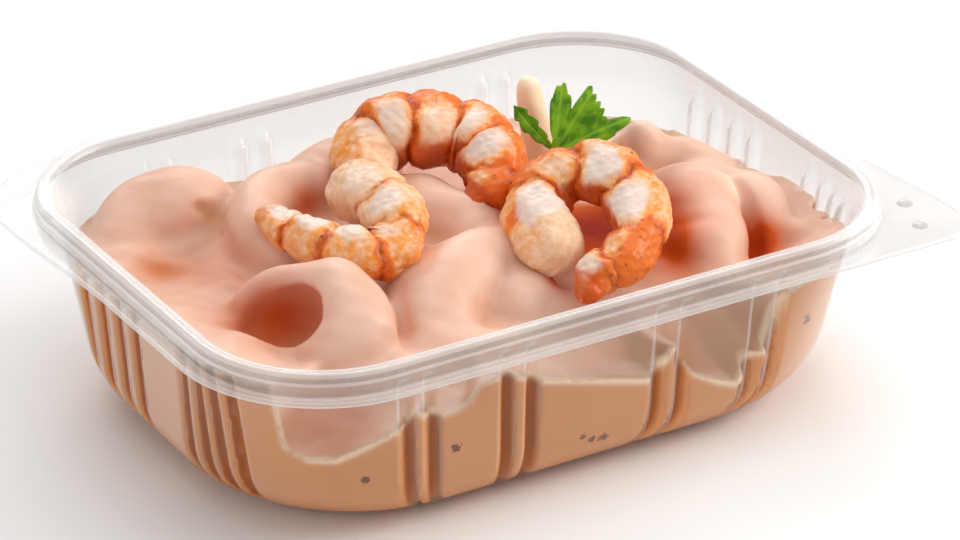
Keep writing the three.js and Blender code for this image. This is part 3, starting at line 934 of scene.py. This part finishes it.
def build_dots(finish):
    """Small round dots raised on the ears."""
    ring = np.column_stack([*circle(24), np.zeros(24)])
    points, faces = [], []
    for x, y in EAR_DOTS:
        start = len(points)
        dot, sides = loft([ring * radius + (x, y, FLANGE_TOP + up) for radius, up in DOT_RINGS])
        points += dot.tolist()
        faces += [tuple(start + k for k in side) for side in sides]
    plain = np.zeros(len(points))
    looks = {"milk": plain + MILKY_WALL, "line": plain, "rib": plain}
    dots = make_piece("tray_dots", points, faces, finish, looks)
    finish_piece(dots, "clear_plastic")


def build_tray(settings):
    """Clear tray as one closed skin, with the ribs pressed in along its walls."""
    section = tray_section(in_mm(settings.sheet), in_mm(settings.pitch))
    rings, normals, shares, looks = zip(*section.rows)
    points, faces = loft(rings)
    z = points[:, 2]

    def each_point(values):
        """A value for each point from one for each ring, and 0 in the middle of the base."""
        return np.concatenate([np.repeat(values, len(section.angles)), [0, 0]])

    milk, line = (each_point(values) for values in zip(*looks))
    attributes = {
        "inward": np.concatenate([*(-normal for normal in normals), np.zeros((2, 3))]),
        "rib_share": each_point(shares),
        # Painted highlight along the outer bends, and below 0 painted grey shade along the inner
        # ones.
        "milk": milk,
        "line": line,
        # wet and low mark where the sheet gets painted warm shade over the sauce.
        "wet": smooth(contact_height(points[:, 0], points[:, 1]) - z, -0.3, 0.6),
        "low": smooth(BASE_FILLET - z, 0, 8),
    }
    finish = clear_plastic_finish(settings)
    tray = make_piece("tray_shell", points, faces, finish, attributes)
    lines, edges = rib_lines()
    guide = make_piece("rib_lines", lines, [], edges=edges)
    values = {
        "Rib Lines": guide,
        "Width": settings.rib_width,
        "Depth": settings.rib_depth,
        "Material": finish,
    }
    tree = rib_tree()
    ribs = tray.modifiers.new(tree.name, "NODES")
    ribs.node_group = tree
    for item in tree.interface.items_tree:
        if item.name in values:
            ribs[item.identifier] = values[item.name]
    keep_modified(tray)
    # The guide object goes with its mesh.
    bpy.data.meshes.remove(guide.data)
    tray.data.shade_smooth()
    build_dots(finish)
    finish_piece(tray, "clear_plastic", "tray")


# ---------------------------------------------------------------- filling shape


def rounded_box_distance(x, y, a, b, corner):
    """Distance to a rounded rectangle, below 0 inside it."""
    qx, qy = np.abs(x) - (a - corner), np.abs(y) - (b - corner)
    outside = np.hypot(np.maximum(qx, 0), np.maximum(qy, 0))
    return outside + np.minimum(np.maximum(qx, qy), 0) - corner


def rib_groove(x, y, z, width, depth):
    """How far the ribs reach in at a place on the wall."""
    near = np.full(x.shape, width)
    for cx, cy in rib_centres():
        reach = math.hypot(cx, cy)
        ux, uy = cx / reach, cy / reach
        across = np.abs(x * uy - y * ux)
        slant = 1 / abs(ux if abs(cx) > RIBS_LONG_SIDE[-1] else uy)
        ahead = x * ux + y * uy > 0
        near = np.where(ahead, np.minimum(near, across * slant), near)
    groove = smooth(1 - near / (width * 0.5), 0, 0.8)
    turn = np.degrees(np.arcsin(np.clip((BASE_FILLET - z) / BASE_FILLET, 0, 1)))
    low = np.interp(turn, *zip(*RIB_SHARES))
    return groove * low * (1 - smooth(z, RIB_TOP, NECK)) * depth


def cavity_distance(x, y, z, inset, rib):
    """Distance to the tray's inside, set in from its outer face, below 0 inside."""
    outline = body_outline(np.clip(z, 0, NECK))
    flat = rounded_box_distance(x, y, outline["a"], outline["b"], outline["corner"])
    flat = flat + rib_groove(x, y, z, *rib)
    over = np.maximum(flat + BASE_FILLET, 0)
    down = np.maximum(BASE_FILLET - z, 0)
    low = np.where((over > 0) & (down > 0), np.hypot(over, down), np.maximum(over, down))
    return low - BASE_FILLET + inset


def chain_distance(x, y, z, rows):
    """Distance to a round body along a chain of points with radii."""
    best = np.full(x.shape, 1e3)
    for (ax, ay, az, ar), (bx, by, bz, br) in zip(rows, rows[1:]):
        dx, dy, dz = bx - ax, by - ay, bz - az
        size = dx * dx + dy * dy + dz * dz
        t = np.clip(((x - ax) * dx + (y - ay) * dy + (z - az) * dz) / size, 0, 1)
        gap = np.sqrt((x - ax - t * dx) ** 2 + (y - ay - t * dy) ** 2 + (z - az - t * dz) ** 2)
        best = np.minimum(best, gap - (ar + (br - ar) * t))
    return best


def contact_height(x, y):
    """Height at which the sauce meets the wall."""
    turn = np.degrees(np.arctan2(y, x)) % 360
    return np.interp(turn, *zip(*CONTACT))


def contact_distance(points):
    """Distance along the wall to the line where the sauce meets it."""
    reach = np.hypot(points[:, 0], points[:, 1])
    turn = np.arctan2(points[:, 1], points[:, 0]) % (2 * math.pi)
    best = np.full(len(points), 1e3)
    for (a, low), (b, high) in zip(CONTACT, CONTACT[1:]):
        along = (turn - math.radians(a)) * reach
        wide, rise = math.radians(b - a) * reach, high - low
        t = np.clip((along * wide + (points[:, 2] - low) * rise) / (wide**2 + rise**2), 0, 1)
        best = np.minimum(best, np.hypot(along - t * wide, points[:, 2] - low - t * rise))
    return best


def sauce_height(x, y):
    """Sauce surface between the prawns and out to the wall."""
    edge, _ = outline_at(np.arctan2(y, x).ravel(), body_outline(SAUCE_LEVEL))
    share = np.hypot(x, y) / np.linalg.norm(edge, axis=1).reshape(x.shape)
    swell = 1.2 * np.sin(x / 9 + 1) * np.cos(y / 8) + 0.4 * np.sin(x / 3.7 + y / 5.1)
    mound = 5 * bump(np.hypot(x + 2, y - 2), 17) + 2 * bump(np.hypot(x + 50, y + 14), 9)
    level = SAUCE_LEVEL + swell + mound - 5 * bump(np.hypot(x - 50, y + 26), 11)
    return lerp(level, contact_height(x, y), smooth(share, 0.7, 1))


class Grid:
    """Distance values over a box, and the skin where they pass through 0."""

    def __init__(self, low, high, pitch):
        self.pitch = pitch
        self.low = np.array(low, float)
        self.axes = [np.arange(a, b, pitch) for a, b in zip(low, high)]
        self.places = np.meshgrid(*self.axes, indexing="ij")
        self.values = None

    def around(self, rows, margin):
        """Part of the grid round a chain of points with radii, and the distances to it there."""
        rows = np.asarray(rows, float)
        reach = rows[:, 3].max() + margin
        ends = zip(rows[:, :3].min(0) - reach, rows[:, :3].max(0) + reach)
        part = tuple(slice(*np.searchsorted(*pair)) for pair in zip(self.axes, ends))
        return part, chain_distance(*(place[part] for place in self.places), rows)

    def crossings(self, inside):
        """For each axis: its edges that the surface crosses, where on them, and which start in."""
        found = []
        for axis in range(3):
            low = tuple(slice(0, -1) if k == axis else slice(None) for k in range(3))
            high = tuple(slice(1, None) if k == axis else slice(None) for k in range(3))
            crossed = inside[low] != inside[high]
            with np.errstate(divide="ignore", invalid="ignore"):
                share = self.values[low] / (self.values[low] - self.values[high])
            found.append((crossed, np.where(crossed, share, 0), inside[low]))
        return found

    def cell_points(self, crossings, shape):
        """Numbers of the cells that the surface crosses, -1 for the others, and their points."""
        total = np.zeros((*shape, 3), np.float32)
        count = np.zeros(shape, np.float32)
        for axis, (crossed, share, _) in enumerate(crossings):
            others = [k for k in range(3) if k != axis]
            for shifts in ((0, 0), (0, 1), (1, 0), (1, 1)):
                cut = [slice(None)] * 3
                for k, shift in zip(others, shifts):
                    cut[k] = slice(shift, shift + shape[k])
                here = crossed[tuple(cut)]
                count += here
                total[..., axis] += share[tuple(cut)]
                for k, shift in zip(others, shifts):
                    total[..., k] += here * shift
        used = count > 0
        number = np.full(shape, -1, np.int64)
        number[used] = np.arange(used.sum())
        place = np.argwhere(used) + total[used] / count[used][:, None]
        return number, place * self.pitch + self.low

    def skin(self):
        """A point in each cell that the surface crosses, and the quads between them."""
        inside = self.values < 0
        shape = np.array(inside.shape) - 1
        crossings = self.crossings(inside)
        number, points = self.cell_points(crossings, shape)
        faces = []
        for axis, (crossed, _, below) in enumerate(crossings):
            p, q = (axis + 1) % 3, (axis + 2) % 3
            found = np.argwhere(crossed)
            found = found[(found[:, p] > 0) & (found[:, q] > 0)]
            found = found[(found[:, p] < shape[p]) & (found[:, q] < shape[q])]
            corners = []
            for dp, dq in ((-1, -1), (0, -1), (0, 0), (-1, 0)):
                cell = found.copy()
                cell[:, p] += dp
                cell[:, q] += dq
                corners.append(number[tuple(cell.T)])
            quads = np.stack(corners, 1)
            turned = ~below[tuple(found.T)]
            quads[turned] = quads[turned][:, ::-1]
            faces.append(quads)
        return points, np.concatenate(faces)


class Net:
    """Neighbours in a quad mesh, for spreading values from point to point."""

    def __init__(self, faces, count):
        pairs = np.concatenate([faces[:, [k, (k + 1) % 4]] for k in range(4)])
        self.pairs = np.unique(np.sort(pairs, 1), axis=0)
        self.degree = np.maximum(np.bincount(self.pairs.ravel(), minlength=count), 1.0)

    def spread(self, values, rounds):
        """Rows of values averaged over their neighbours a number of times."""
        one, other = self.pairs.T
        for _ in range(rounds):
            total = np.zeros_like(values)
            for column, old in enumerate(values.T):
                total[:, column] = np.bincount(one, old[other], len(values))
                total[:, column] += np.bincount(other, old[one], len(values))
            values = 0.4 * values + 0.6 * total / self.degree[:, None]
        return values


def point_normals(points, faces):
    """Outward directions at the points of a quad mesh."""
    across = points[faces[:, 2]] - points[faces[:, 0]]
    other = points[faces[:, 3]] - points[faces[:, 1]]
    flat = np.cross(across, other)
    total = np.zeros_like(points)
    for k in range(4):
        for column in range(3):
            total[:, column] += np.bincount(faces[:, k], flat[:, column], len(points))
    return unit(total)


def shape_heap(grid, blend, uneven):
    """Sauce over the coated prawns, with the hollow, the creases and the bare prawns' beds."""
    x, y, z = grid.places
    level = sauce_height(x[:, :, 0], y[:, :, 0])
    field = (z - level[:, :, None]) * SAUCE_RISE
    for points in COATED.values():
        part, body = grid.around(curve_points(points, 5 * len(points)), 6)
        field[part] = soft_min(field[part], body, blend)
    field += uneven * unevenness(x, y, z, HEAP_LUMPS)
    part, hollow = grid.around(HOLLOW, 3)
    field[part] = -soft_min(-field[part], hollow, HOLLOW_BLEND)
    for points in CREASES:
        part, crease = grid.around(curve_points(points, 4 * len(points)), 4)
        field[part] = -soft_min(-field[part], crease, CREASE_BLEND)
    for points in BARE.values():
        part, body = grid.around(curve_points(points, 5 * len(points)), 6)
        collar = soft_min(field[part], body + COLLAR_DEPTH, COLLAR_BLEND)
        field[part] = np.maximum(collar, -(body + BED_DEPTH))
    return field


def fit_to_wall(points, net, to_wall, near, rounds=5, step=0.01):
    """Points smoothed, with those within a distance of the wall laid onto it."""
    points = net.spread(points, 2)
    for _ in range(rounds):
        close = (to_wall(points) > -near)[:, None]
        points = np.where(close, net.spread(points, 1), points)
        wall = to_wall(points)
        slope = np.stack([to_wall(points + shift) - wall for shift in np.eye(3) * step], 1)
        points = np.where(close, points - unit(slope) * wall[:, None], points)
    return points


def heap_looks(points, faces, net, wall, groove):
    """Values that the sauce's finish reads, from the distances to the wall and its grooves."""
    normals = point_normals(points, faces)
    level = normals[:, 2]
    recess = ((net.spread(points, 60) - points) * normals).sum(1)
    on_wall = smooth(wall, -0.5, -0.1) * (1 - smooth(level, 0.35, 0.6))
    low = smooth(28 - points[:, 2], 0, 5) * (1 - smooth(level, 0.75, 0.95))
    # Painted shade where the sauce slopes back from the wall above the line where it meets it.
    behind = smooth(wall, -16, -4) * (1 - on_wall) * low
    gain = np.where(np.abs(points[:, 0]) > END_RIBS_FROM, END_RIBS_GAIN, 1)
    specks = [
        bump(np.linalg.norm(points - middle, axis=1), size * 1.2) for *middle, size in SPECKS
    ]
    return {
        # Hollow above 0 and rounded below 0: the finish paints shade into hollows and a highlight
        # on crests.
        "recess": np.clip(recess, -3, 3) * (1 - on_wall),
        "speck": np.max(specks, axis=0),
        "wall": on_wall,
        # Painted shade in orange red, and below 0 painted light, from the listed spots.
        "warm": spots(points, PAINTED_SHADING),
        # Painted highlight along the line where the sauce meets the wall.
        "meniscus": bump(contact_distance(points), 0.65) * smooth(wall, -1.2, -0.3),
        # Painted brown shade sloping back from the wall and in the listed hollows.
        "behind": np.maximum(behind, spots(points, BROWN_SHADE)),
        # Painted shade in the rib grooves, stronger where the ribs are seen edge on.
        "groove": np.clip(groove * gain, 0, 1),
    }


def build_filling(settings, tray):
    """Sauce with the coated prawns in it, out to just inside the tray's wall."""
    rib = (in_mm(tray.rib_width), in_mm(tray.rib_depth))
    inset, pitch = in_mm(settings.inset), in_mm(settings.pitch)
    grid = Grid(HEAP_LOW, HEAP_HIGH, pitch)
    heap = shape_heap(grid, in_mm(settings.blend), in_mm(settings.uneven))
    grid.values = np.maximum(heap, cavity_distance(*grid.places, inset, rib))
    points, faces = grid.skin()
    net = Net(faces, len(points))

    def to_wall(places):
        return cavity_distance(*places.T, inset, rib)

    points = fit_to_wall(points, net, to_wall, 0.35 * pitch)
    groove = rib_groove(*points.T, *rib) / rib[1]
    looks = heap_looks(points, faces, net, to_wall(points), groove)
    filling = make_piece("sauce_heap", points, faces, sauce_finish(settings), looks)
    finish_piece(filling, "sauce", "filling")


# ---------------------------------------------------------------- prawns


def swept_frames(rows):
    """Points of a curled body's middle line, with the directions along it, to its back and up."""
    at = rows[:, :3]
    along = unit(np.gradient(at, axis=0))
    outward = at - at.mean(0)
    outward = unit(outward - along * (outward * along).sum(1, keepdims=True))
    across = np.cross(along, outward)
    return at, along, outward, across * np.sign(across[:, 2:].mean())


def build_prawn(name, finish):
    """One peeled curled prawn with bulging segments."""
    steps = SEGMENT_STEPS * PRAWN_SEGMENTS
    rows = curve_points(BARE[name], steps + 1)
    at, along, outward, across = swept_frames(rows)
    rng = np.random.default_rng(len(name) + 5)
    t = np.linspace(0, 1, steps + 1)
    turn = np.linspace(0, 2 * math.pi, PRAWN_SIDES, endpoint=False)
    around, up = circle(PRAWN_SIDES)
    wander = 0.07 * np.sin(2 * turn + 1) + 0.05 * np.sin(3 * turn + len(name))
    wander += 0.03 * np.sin(7 * turn)
    plumps = rng.uniform(0.92, 1.04, PRAWN_SEGMENTS)
    shifts = rng.normal(0, 0.28, (PRAWN_SEGMENTS, 3))
    strengths = [np.array(kind[name]) for kind in (PALE, BLUSH, DEEP)]
    rings, keys = [], []

    def add_ring(k, share=1, ahead=0):
        """A ring at a step, drawn in to a share of its size and moved ahead at the ends."""
        place = np.clip(t[k] * PRAWN_SEGMENTS + wander, 0, PRAWN_SEGMENTS - 1e-6)
        number = place.astype(int)
        phase = place - number
        lump = np.sin(np.pi * phase**0.7) ** 0.55
        girth = 0.9 + (0.17 * plumps[number] + 0.14 * smooth(-around, 0, 1)) * lump
        knobs = 1 + 0.05 * np.cos(2 * turn) + 0.05 * np.cos(3 * turn + 2.1 * number) * lump
        radius = rows[k, 3] * girth * share * knobs
        side = outward[k] * around[:, None] + across[k] * up[:, None]
        middle = at[k] + along[k] * ahead * rows[k, 3] * 0.9 + shifts[number] * lump[:, None]
        ring = middle + side * radius[:, None]
        rings.append(ring + side * (unevenness(*ring.T, PRAWN_LUMPS) * share)[:, None])
        middle_part = (place > 0.5) & (place < PRAWN_SEGMENTS - 0.5)
        border = np.where(middle_part, np.minimum(phase, 1 - phase), 0.5)
        groove = bump(border, 0.14)
        turned = (turn - PATCH_TURN + math.pi) % (2 * math.pi) - math.pi
        patch = (turned / PATCH_WIDTH) ** 2 + ((phase - 0.5) / PATCH_LENGTH) ** 2
        pale, blush, deep = (kind[number] for kind in strengths)
        white = pale * (1 - smooth(patch, 0.1, 2))
        orange = blush * (0.3 + 0.9 * smooth(around, -0.3, 0.6)) + groove * (0.45 + 0.6 * blush)
        inside = deep * smooth(-around, 0, 0.8) * smooth(-up, -0.95, 0) + 0.4 * deep * groove
        red = inside + 0.9 * smooth(t[k], 0.9, 0.98) * deep
        orange, red = orange + spots(ring, BLUSH_SPOTS), red + spots(ring, DEEP_SPOTS)
        keys.append((white, orange, red, bump(border, 0.05)))

    for angle in np.radians(END_TURNS):
        add_ring(0, math.cos(angle), -math.sin(angle))
    for k in range(steps + 1):
        add_ring(k)
    for angle in np.radians(END_TURNS[::-1]):
        add_ring(steps, math.cos(angle), math.sin(angle))
    points, faces = loft(rings)
    columns = [np.concatenate([*column, [0, 0]]) for column in zip(*keys)]
    looks = dict(zip(("white", "orange", "deep", "seam"), columns))
    finish_piece(make_piece(name + "_flesh", points, faces, finish, looks), "prawn_flesh", name)


# ---------------------------------------------------------------- parsley


def blade_grid(tip, half, teeth, bend, steps=40, across_steps=8):
    """Points of one lobe in rows from its root to its tip, with its vein strength."""
    root = np.array(LEAF_ROOT, float)
    along = np.array(tip, float) - root
    length = np.linalg.norm(along)
    along /= length
    facing = np.array(LEAF_FACING, float)
    across = unit(np.cross(along, facing))
    out = unit(np.cross(across, along))
    t = np.linspace(0, 1, steps + 1)
    tooth = 1 - 0.42 * ((t * teeth) % 1) ** 1.4
    envelope = np.sin(np.pi * t**1.4) ** 0.7
    width = half * np.maximum(0.1, 1.25 * envelope * tooth * (1 - 0.2 * t))
    side = np.linspace(-1, 1, across_steps + 1)
    middle = root + along * (t * length)[:, None] + out * (2 * bend * np.sin(np.pi * t))[:, None]
    lift = 0.3 * width[:, None] * np.abs(side) + 0.15 * np.sin(9 * t)[:, None] * side
    points = (
        middle[:, None]
        + across * (side * width[:, None])[..., None]
        + along * (0.5 * width[:, None] * np.abs(side))[..., None]
        + out * lift[..., None]
    )
    vein = bump(side, 0.14)[None] * np.ones((steps + 1, 1))
    return points.reshape(-1, 3), vein.ravel(), steps + 1, across_steps + 1


def fan_grid(steps=22, columns=160):
    """Points of the broad leaf in rows from its root to its toothed edge, with its veins."""
    along = np.array(LEAF_ALONG)
    out = np.array(LEAF_FACING)
    across = np.cross(out, along)
    degrees = np.linspace(LEAF_EDGE[0][0], LEAF_EDGE[-1][0], columns)
    reach = np.interp(degrees, *zip(*LEAF_EDGE))
    reach = reach - 0.9 * np.abs(2 * ((degrees / 6.5) % 1) - 1) * smooth(reach, 6, 10)
    t = np.linspace(0.05, 1, steps)[:, None]
    turn = np.radians(degrees)
    nearest = np.min([np.abs(degrees - lobe) for lobe in LOBES], axis=0)
    gap = np.radians(nearest) * reach * t
    ribs = np.abs(2 * ((t * reach - gap) / 2.6 % 1) - 1)
    vein = np.maximum(bump(gap, 0.3), 0.5 * bump(1 - ribs, 0.25))
    lift = 0.5 * smooth(gap, 0, 2.5) + 0.35 * np.sin(turn * 9 + t * 4) * t - 1.1 * t**3
    way = along * np.cos(turn)[:, None] + across * np.sin(turn)[:, None]
    points = np.array(LEAF_ROOT) + way * (reach * t)[..., None] + out * lift[..., None]
    return points.reshape(-1, 3), vein.ravel(), steps, columns


def build_stem(finish):
    """Round stem from the sauce up to the root of the leaves."""
    rows = curve_points(STEM, 13)
    at = rows[:, :3]
    along = unit(np.gradient(at, axis=0))
    side = unit(np.cross(along, (0, 1, 0)))
    up = np.cross(along, side)
    across, height = (part[:, None] for part in circle(12))
    rings = [at[k] + rows[k, 3] * (side[k] * across + up[k] * height) for k in range(len(rows))]
    points, faces = loft(rings)
    stem = make_piece("parsley_stem", points, faces, finish, {"vein": np.full(len(points), 0.4)})
    finish_piece(stem, "leaf")


def build_parsley(settings):
    """Sprig with serrated lobes, each a leaf given a little thickness, and a round stem."""
    finish = leaf_finish(settings)
    points, veins, faces = [], [], []
    for made, vein, rows, columns in (fan_grid(), blade_grid(*NARROW_BLADE)):
        start = len(points)
        points += made.tolist()
        veins += vein.tolist()
        for k in range(rows - 1):
            for i in range(columns - 1):
                a = start + k * columns + i
                faces.append((a, a + columns, a + columns + 1, a + 1))
    blades = make_piece("parsley_sprig", points, faces, finish, {"vein": veins})
    thicken = blades.modifiers.new("thickness", "SOLIDIFY")
    thicken.thickness = settings.thickness
    thicken.offset = 0
    keep_modified(blades)
    build_stem(finish)
    finish_piece(blades, "leaf", "parsley")


# ---------------------------------------------------------------- stage


def aim(thing, place, target):
    """Puts a light or camera in its place and turns it to a target."""
    thing.location = place
    way = Vector(target) - thing.location
    thing.rotation_euler = way.to_track_quat("-Z", "Y").to_euler()


def build_stage(settings):
    """Pale floor, soft lights, white surroundings and the camera."""
    scene = bpy.context.scene
    half = FLOOR_HALF
    corners = [(-half, -half, 0), (half, -half, 0), (half, half, 0), (-half, half, 0)]
    mesh = bpy.data.meshes.new("pale_floor")
    mesh.from_pydata(corners, [], [(0, 1, 2, 3)])
    mesh.materials.append(floor_finish(settings))
    floor = link_object("pale_floor", mesh)
    floor.location.z = -FLOOR_DROP
    target = Vector(VIEW_TARGET) * MM + Vector((CENTRE_SHIFT * MM, 0, 0))
    for name, (place, size, power, share, tone) in LIGHTS.items():
        light = bpy.data.lights.new(name, "AREA")
        light.shape = "RECTANGLE"
        light.size, light.size_y = size
        light.energy = getattr(settings, power) * share
        light.color = tone
        aim(link_object(name, light), place, target)
    world = bpy.data.worlds.new("white_surroundings")
    world.use_nodes = True
    world.node_tree.nodes["Background"].inputs["Color"].default_value = (1, 1, 1, 1)
    world.node_tree.nodes["Background"].inputs["Strength"].default_value = settings.surroundings
    scene.world = world
    view = bpy.data.cameras.new("view")
    view.lens = VIEW_LENS
    view.sensor_width = 36
    view.clip_end = 20
    turn, rise = math.radians(VIEW_BEARING), math.radians(VIEW_HEIGHT)
    back = (math.sin(turn) * math.cos(rise), -math.cos(turn) * math.cos(rise), math.sin(rise))
    scene.camera = link_object("view", view)
    aim(scene.camera, target + Vector(back) * VIEW_DISTANCE * MM, target)
    scene.view_settings.view_transform = "Standard"


# ---------------------------------------------------------------- add-on


def length_setting(name, text, default, low, high):
    """Length given in millimetres and held in metres."""
    limits = {"min": low * MM, "max": high * MM}
    return bpy.props.FloatProperty(
        name=name, description=text, default=default * MM, unit="LENGTH", precision=5, **limits
    )


def share_setting(name, text, default):
    return bpy.props.FloatProperty(
        name=name, description=text, default=default, min=0.0, max=1.0, subtype="FACTOR"
    )


def colour_setting(name, text, default):
    return bpy.props.FloatVectorProperty(
        name=name, description=text, default=default, min=0.0, max=1.0, size=3, subtype="COLOR"
    )


def power_setting(name, text, default):
    return bpy.props.FloatProperty(
        name=name, description=text, default=default, min=0.0, unit="POWER"
    )


class TraySettings(bpy.types.PropertyGroup):
    """Sizes and finish of the tray."""

    sheet: length_setting("Sheet", "Thickness of the plastic", 0.45, 0.2, 0.8)
    pitch: length_setting("Pitch", "Distance between the points of its outline", 0.53, 0.3, 3)
    rib_width: length_setting("Rib Width", "Width of a pressed-in rib", 3.8, 1, 6)
    rib_depth: length_setting("Rib Depth", "Depth of a pressed-in rib", 1.8, 0.1, 3)
    tint: colour_setting("Tint", "Colour of the plastic where it isn't clear", (0.4, 0.365, 0.345))
    roughness: share_setting("Roughness", "Roughness of its gloss", 0.06)
    haze: share_setting("Haze", "How milky the flat wall is", 0.12)
    milk: share_setting("Milk", "How much milkier its rim is", 0.1)
    edge: share_setting("Edge", "How milky the wall is when seen edge on", 0.46)


class FillingSettings(bpy.types.PropertyGroup):
    """Shape and finish of the sauce and the prawns in it."""

    pitch: length_setting("Pitch", "Size of the cells that its skin is made in", 0.7, 0.5, 3)
    inset: length_setting("Inset", "Distance to the outer face of the tray", 0.28, 0.1, 2)
    blend: length_setting("Blend", "How softly the sauce runs into the prawns", 1.7, 0.2, 8)
    uneven: length_setting("Uneven", "How uneven its surface is", 0.7, 0, 2)
    cream: colour_setting("Cream", "Colour of the sauce", colour("sauce"))
    # The colour of the painted orange red shade in the sauce's hollows and under the prawns.
    shaded: colour_setting("Shaded", "Colour where it is thin over a prawn", colour("sauce_shade_orange"))
    roughness: share_setting("Roughness", "Roughness of the sauce", 0.4)
    softness: share_setting("Softness", "Share of light that goes into the sauce", 0.15)


class PrawnSettings(bpy.types.PropertyGroup):
    """Finish of the bare prawns."""

    flesh: colour_setting("Flesh", "Colour of the flesh", colour("prawn_flesh"))
    orange: colour_setting("Orange", "Colour over the back", colour("prawn_orange"))
    roughness: share_setting("Roughness", "Roughness of the flesh", 0.4)


class ParsleySettings(bpy.types.PropertyGroup):
    """Shape and finish of the parsley."""

    thickness: length_setting("Thickness", "Thickness of a leaf", 0.35, 0.1, 1)
    green: colour_setting("Green", "Colour of the leaf", (0.16, 0.34, 0.004))


class StageSettings(bpy.types.PropertyGroup):
    """Floor and light."""

    floor: colour_setting("Floor", "Colour of the floor", (0.85, 0.85, 0.85))
    key_power: power_setting("Key Light", "Power of the main light", 4.5)
    fill_power: power_setting("Fill Light", "Power of the fill lights", 2.5)
    surroundings: bpy.props.FloatProperty(
        name="Surroundings", description="Brightness of what lies round it", default=0.45, min=0.0
    )


class COCKTAIL_OT_tray(bpy.types.Operator):
    """Make the clear ribbed tray"""

    bl_idname = "cocktail.tray"
    bl_label = "Tray"

    def execute(self, context):
        build_tray(context.scene.cocktail_tray)
        return {"FINISHED"}


class COCKTAIL_OT_filling(bpy.types.Operator):
    """Make the sauce with the coated prawns in it"""

    bl_idname = "cocktail.filling"
    bl_label = "Filling"

    def execute(self, context):
        build_filling(context.scene.cocktail_filling, context.scene.cocktail_tray)
        return {"FINISHED"}


class COCKTAIL_OT_prawns(bpy.types.Operator):
    """Make the bare prawns on top"""

    bl_idname = "cocktail.prawns"
    bl_label = "Bare Prawns"

    def execute(self, context):
        finish = prawn_finish(context.scene.cocktail_prawns)
        for name in BARE:
            build_prawn(name, finish)
        return {"FINISHED"}


class COCKTAIL_OT_parsley(bpy.types.Operator):
    """Make the parsley sprig"""

    bl_idname = "cocktail.parsley"
    bl_label = "Parsley"

    def execute(self, context):
        build_parsley(context.scene.cocktail_parsley)
        return {"FINISHED"}


class COCKTAIL_OT_stage(bpy.types.Operator):
    """Make the floor, the lights and the camera"""

    bl_idname = "cocktail.stage"
    bl_label = "Stage"

    def execute(self, context):
        build_stage(context.scene.cocktail_stage)
        return {"FINISHED"}


GROUPS = {
    "cocktail_tray": TraySettings,
    "cocktail_filling": FillingSettings,
    "cocktail_prawns": PrawnSettings,
    "cocktail_parsley": ParsleySettings,
    "cocktail_stage": StageSettings,
}
OPERATORS = (
    COCKTAIL_OT_stage,
    COCKTAIL_OT_tray,
    COCKTAIL_OT_filling,
    COCKTAIL_OT_prawns,
    COCKTAIL_OT_parsley,
)


class COCKTAIL_PT_panel(bpy.types.Panel):
    """Lists the pieces of the prawn cocktail"""

    bl_label = "Prawn Cocktail"
    bl_idname = "COCKTAIL_PT_panel"
    bl_space_type = "VIEW_3D"
    bl_region_type = "UI"
    bl_category = "Cocktail"

    def draw(self, context):
        for operator in OPERATORS:
            self.layout.operator(operator.bl_idname)
        for key, group in GROUPS.items():
            box = self.layout.box()
            for name in group.__annotations__:
                box.prop(getattr(context.scene, key), name)


CLASSES = (*GROUPS.values(), *OPERATORS, COCKTAIL_PT_panel)


def register():
    for item in CLASSES:
        bpy.utils.register_class(item)
    for key, group in GROUPS.items():
        setattr(bpy.types.Scene, key, bpy.props.PointerProperty(type=group))


def unregister():
    for key in GROUPS:
        delattr(bpy.types.Scene, key)
    for item in reversed(CLASSES):
        bpy.utils.unregister_class(item)


def main():
    register()
    bpy.ops.cocktail.stage()
    bpy.ops.cocktail.tray()
    bpy.ops.cocktail.filling()
    bpy.ops.cocktail.prawns()
    bpy.ops.cocktail.parsley()


if __name__ == "__main__":
    main()
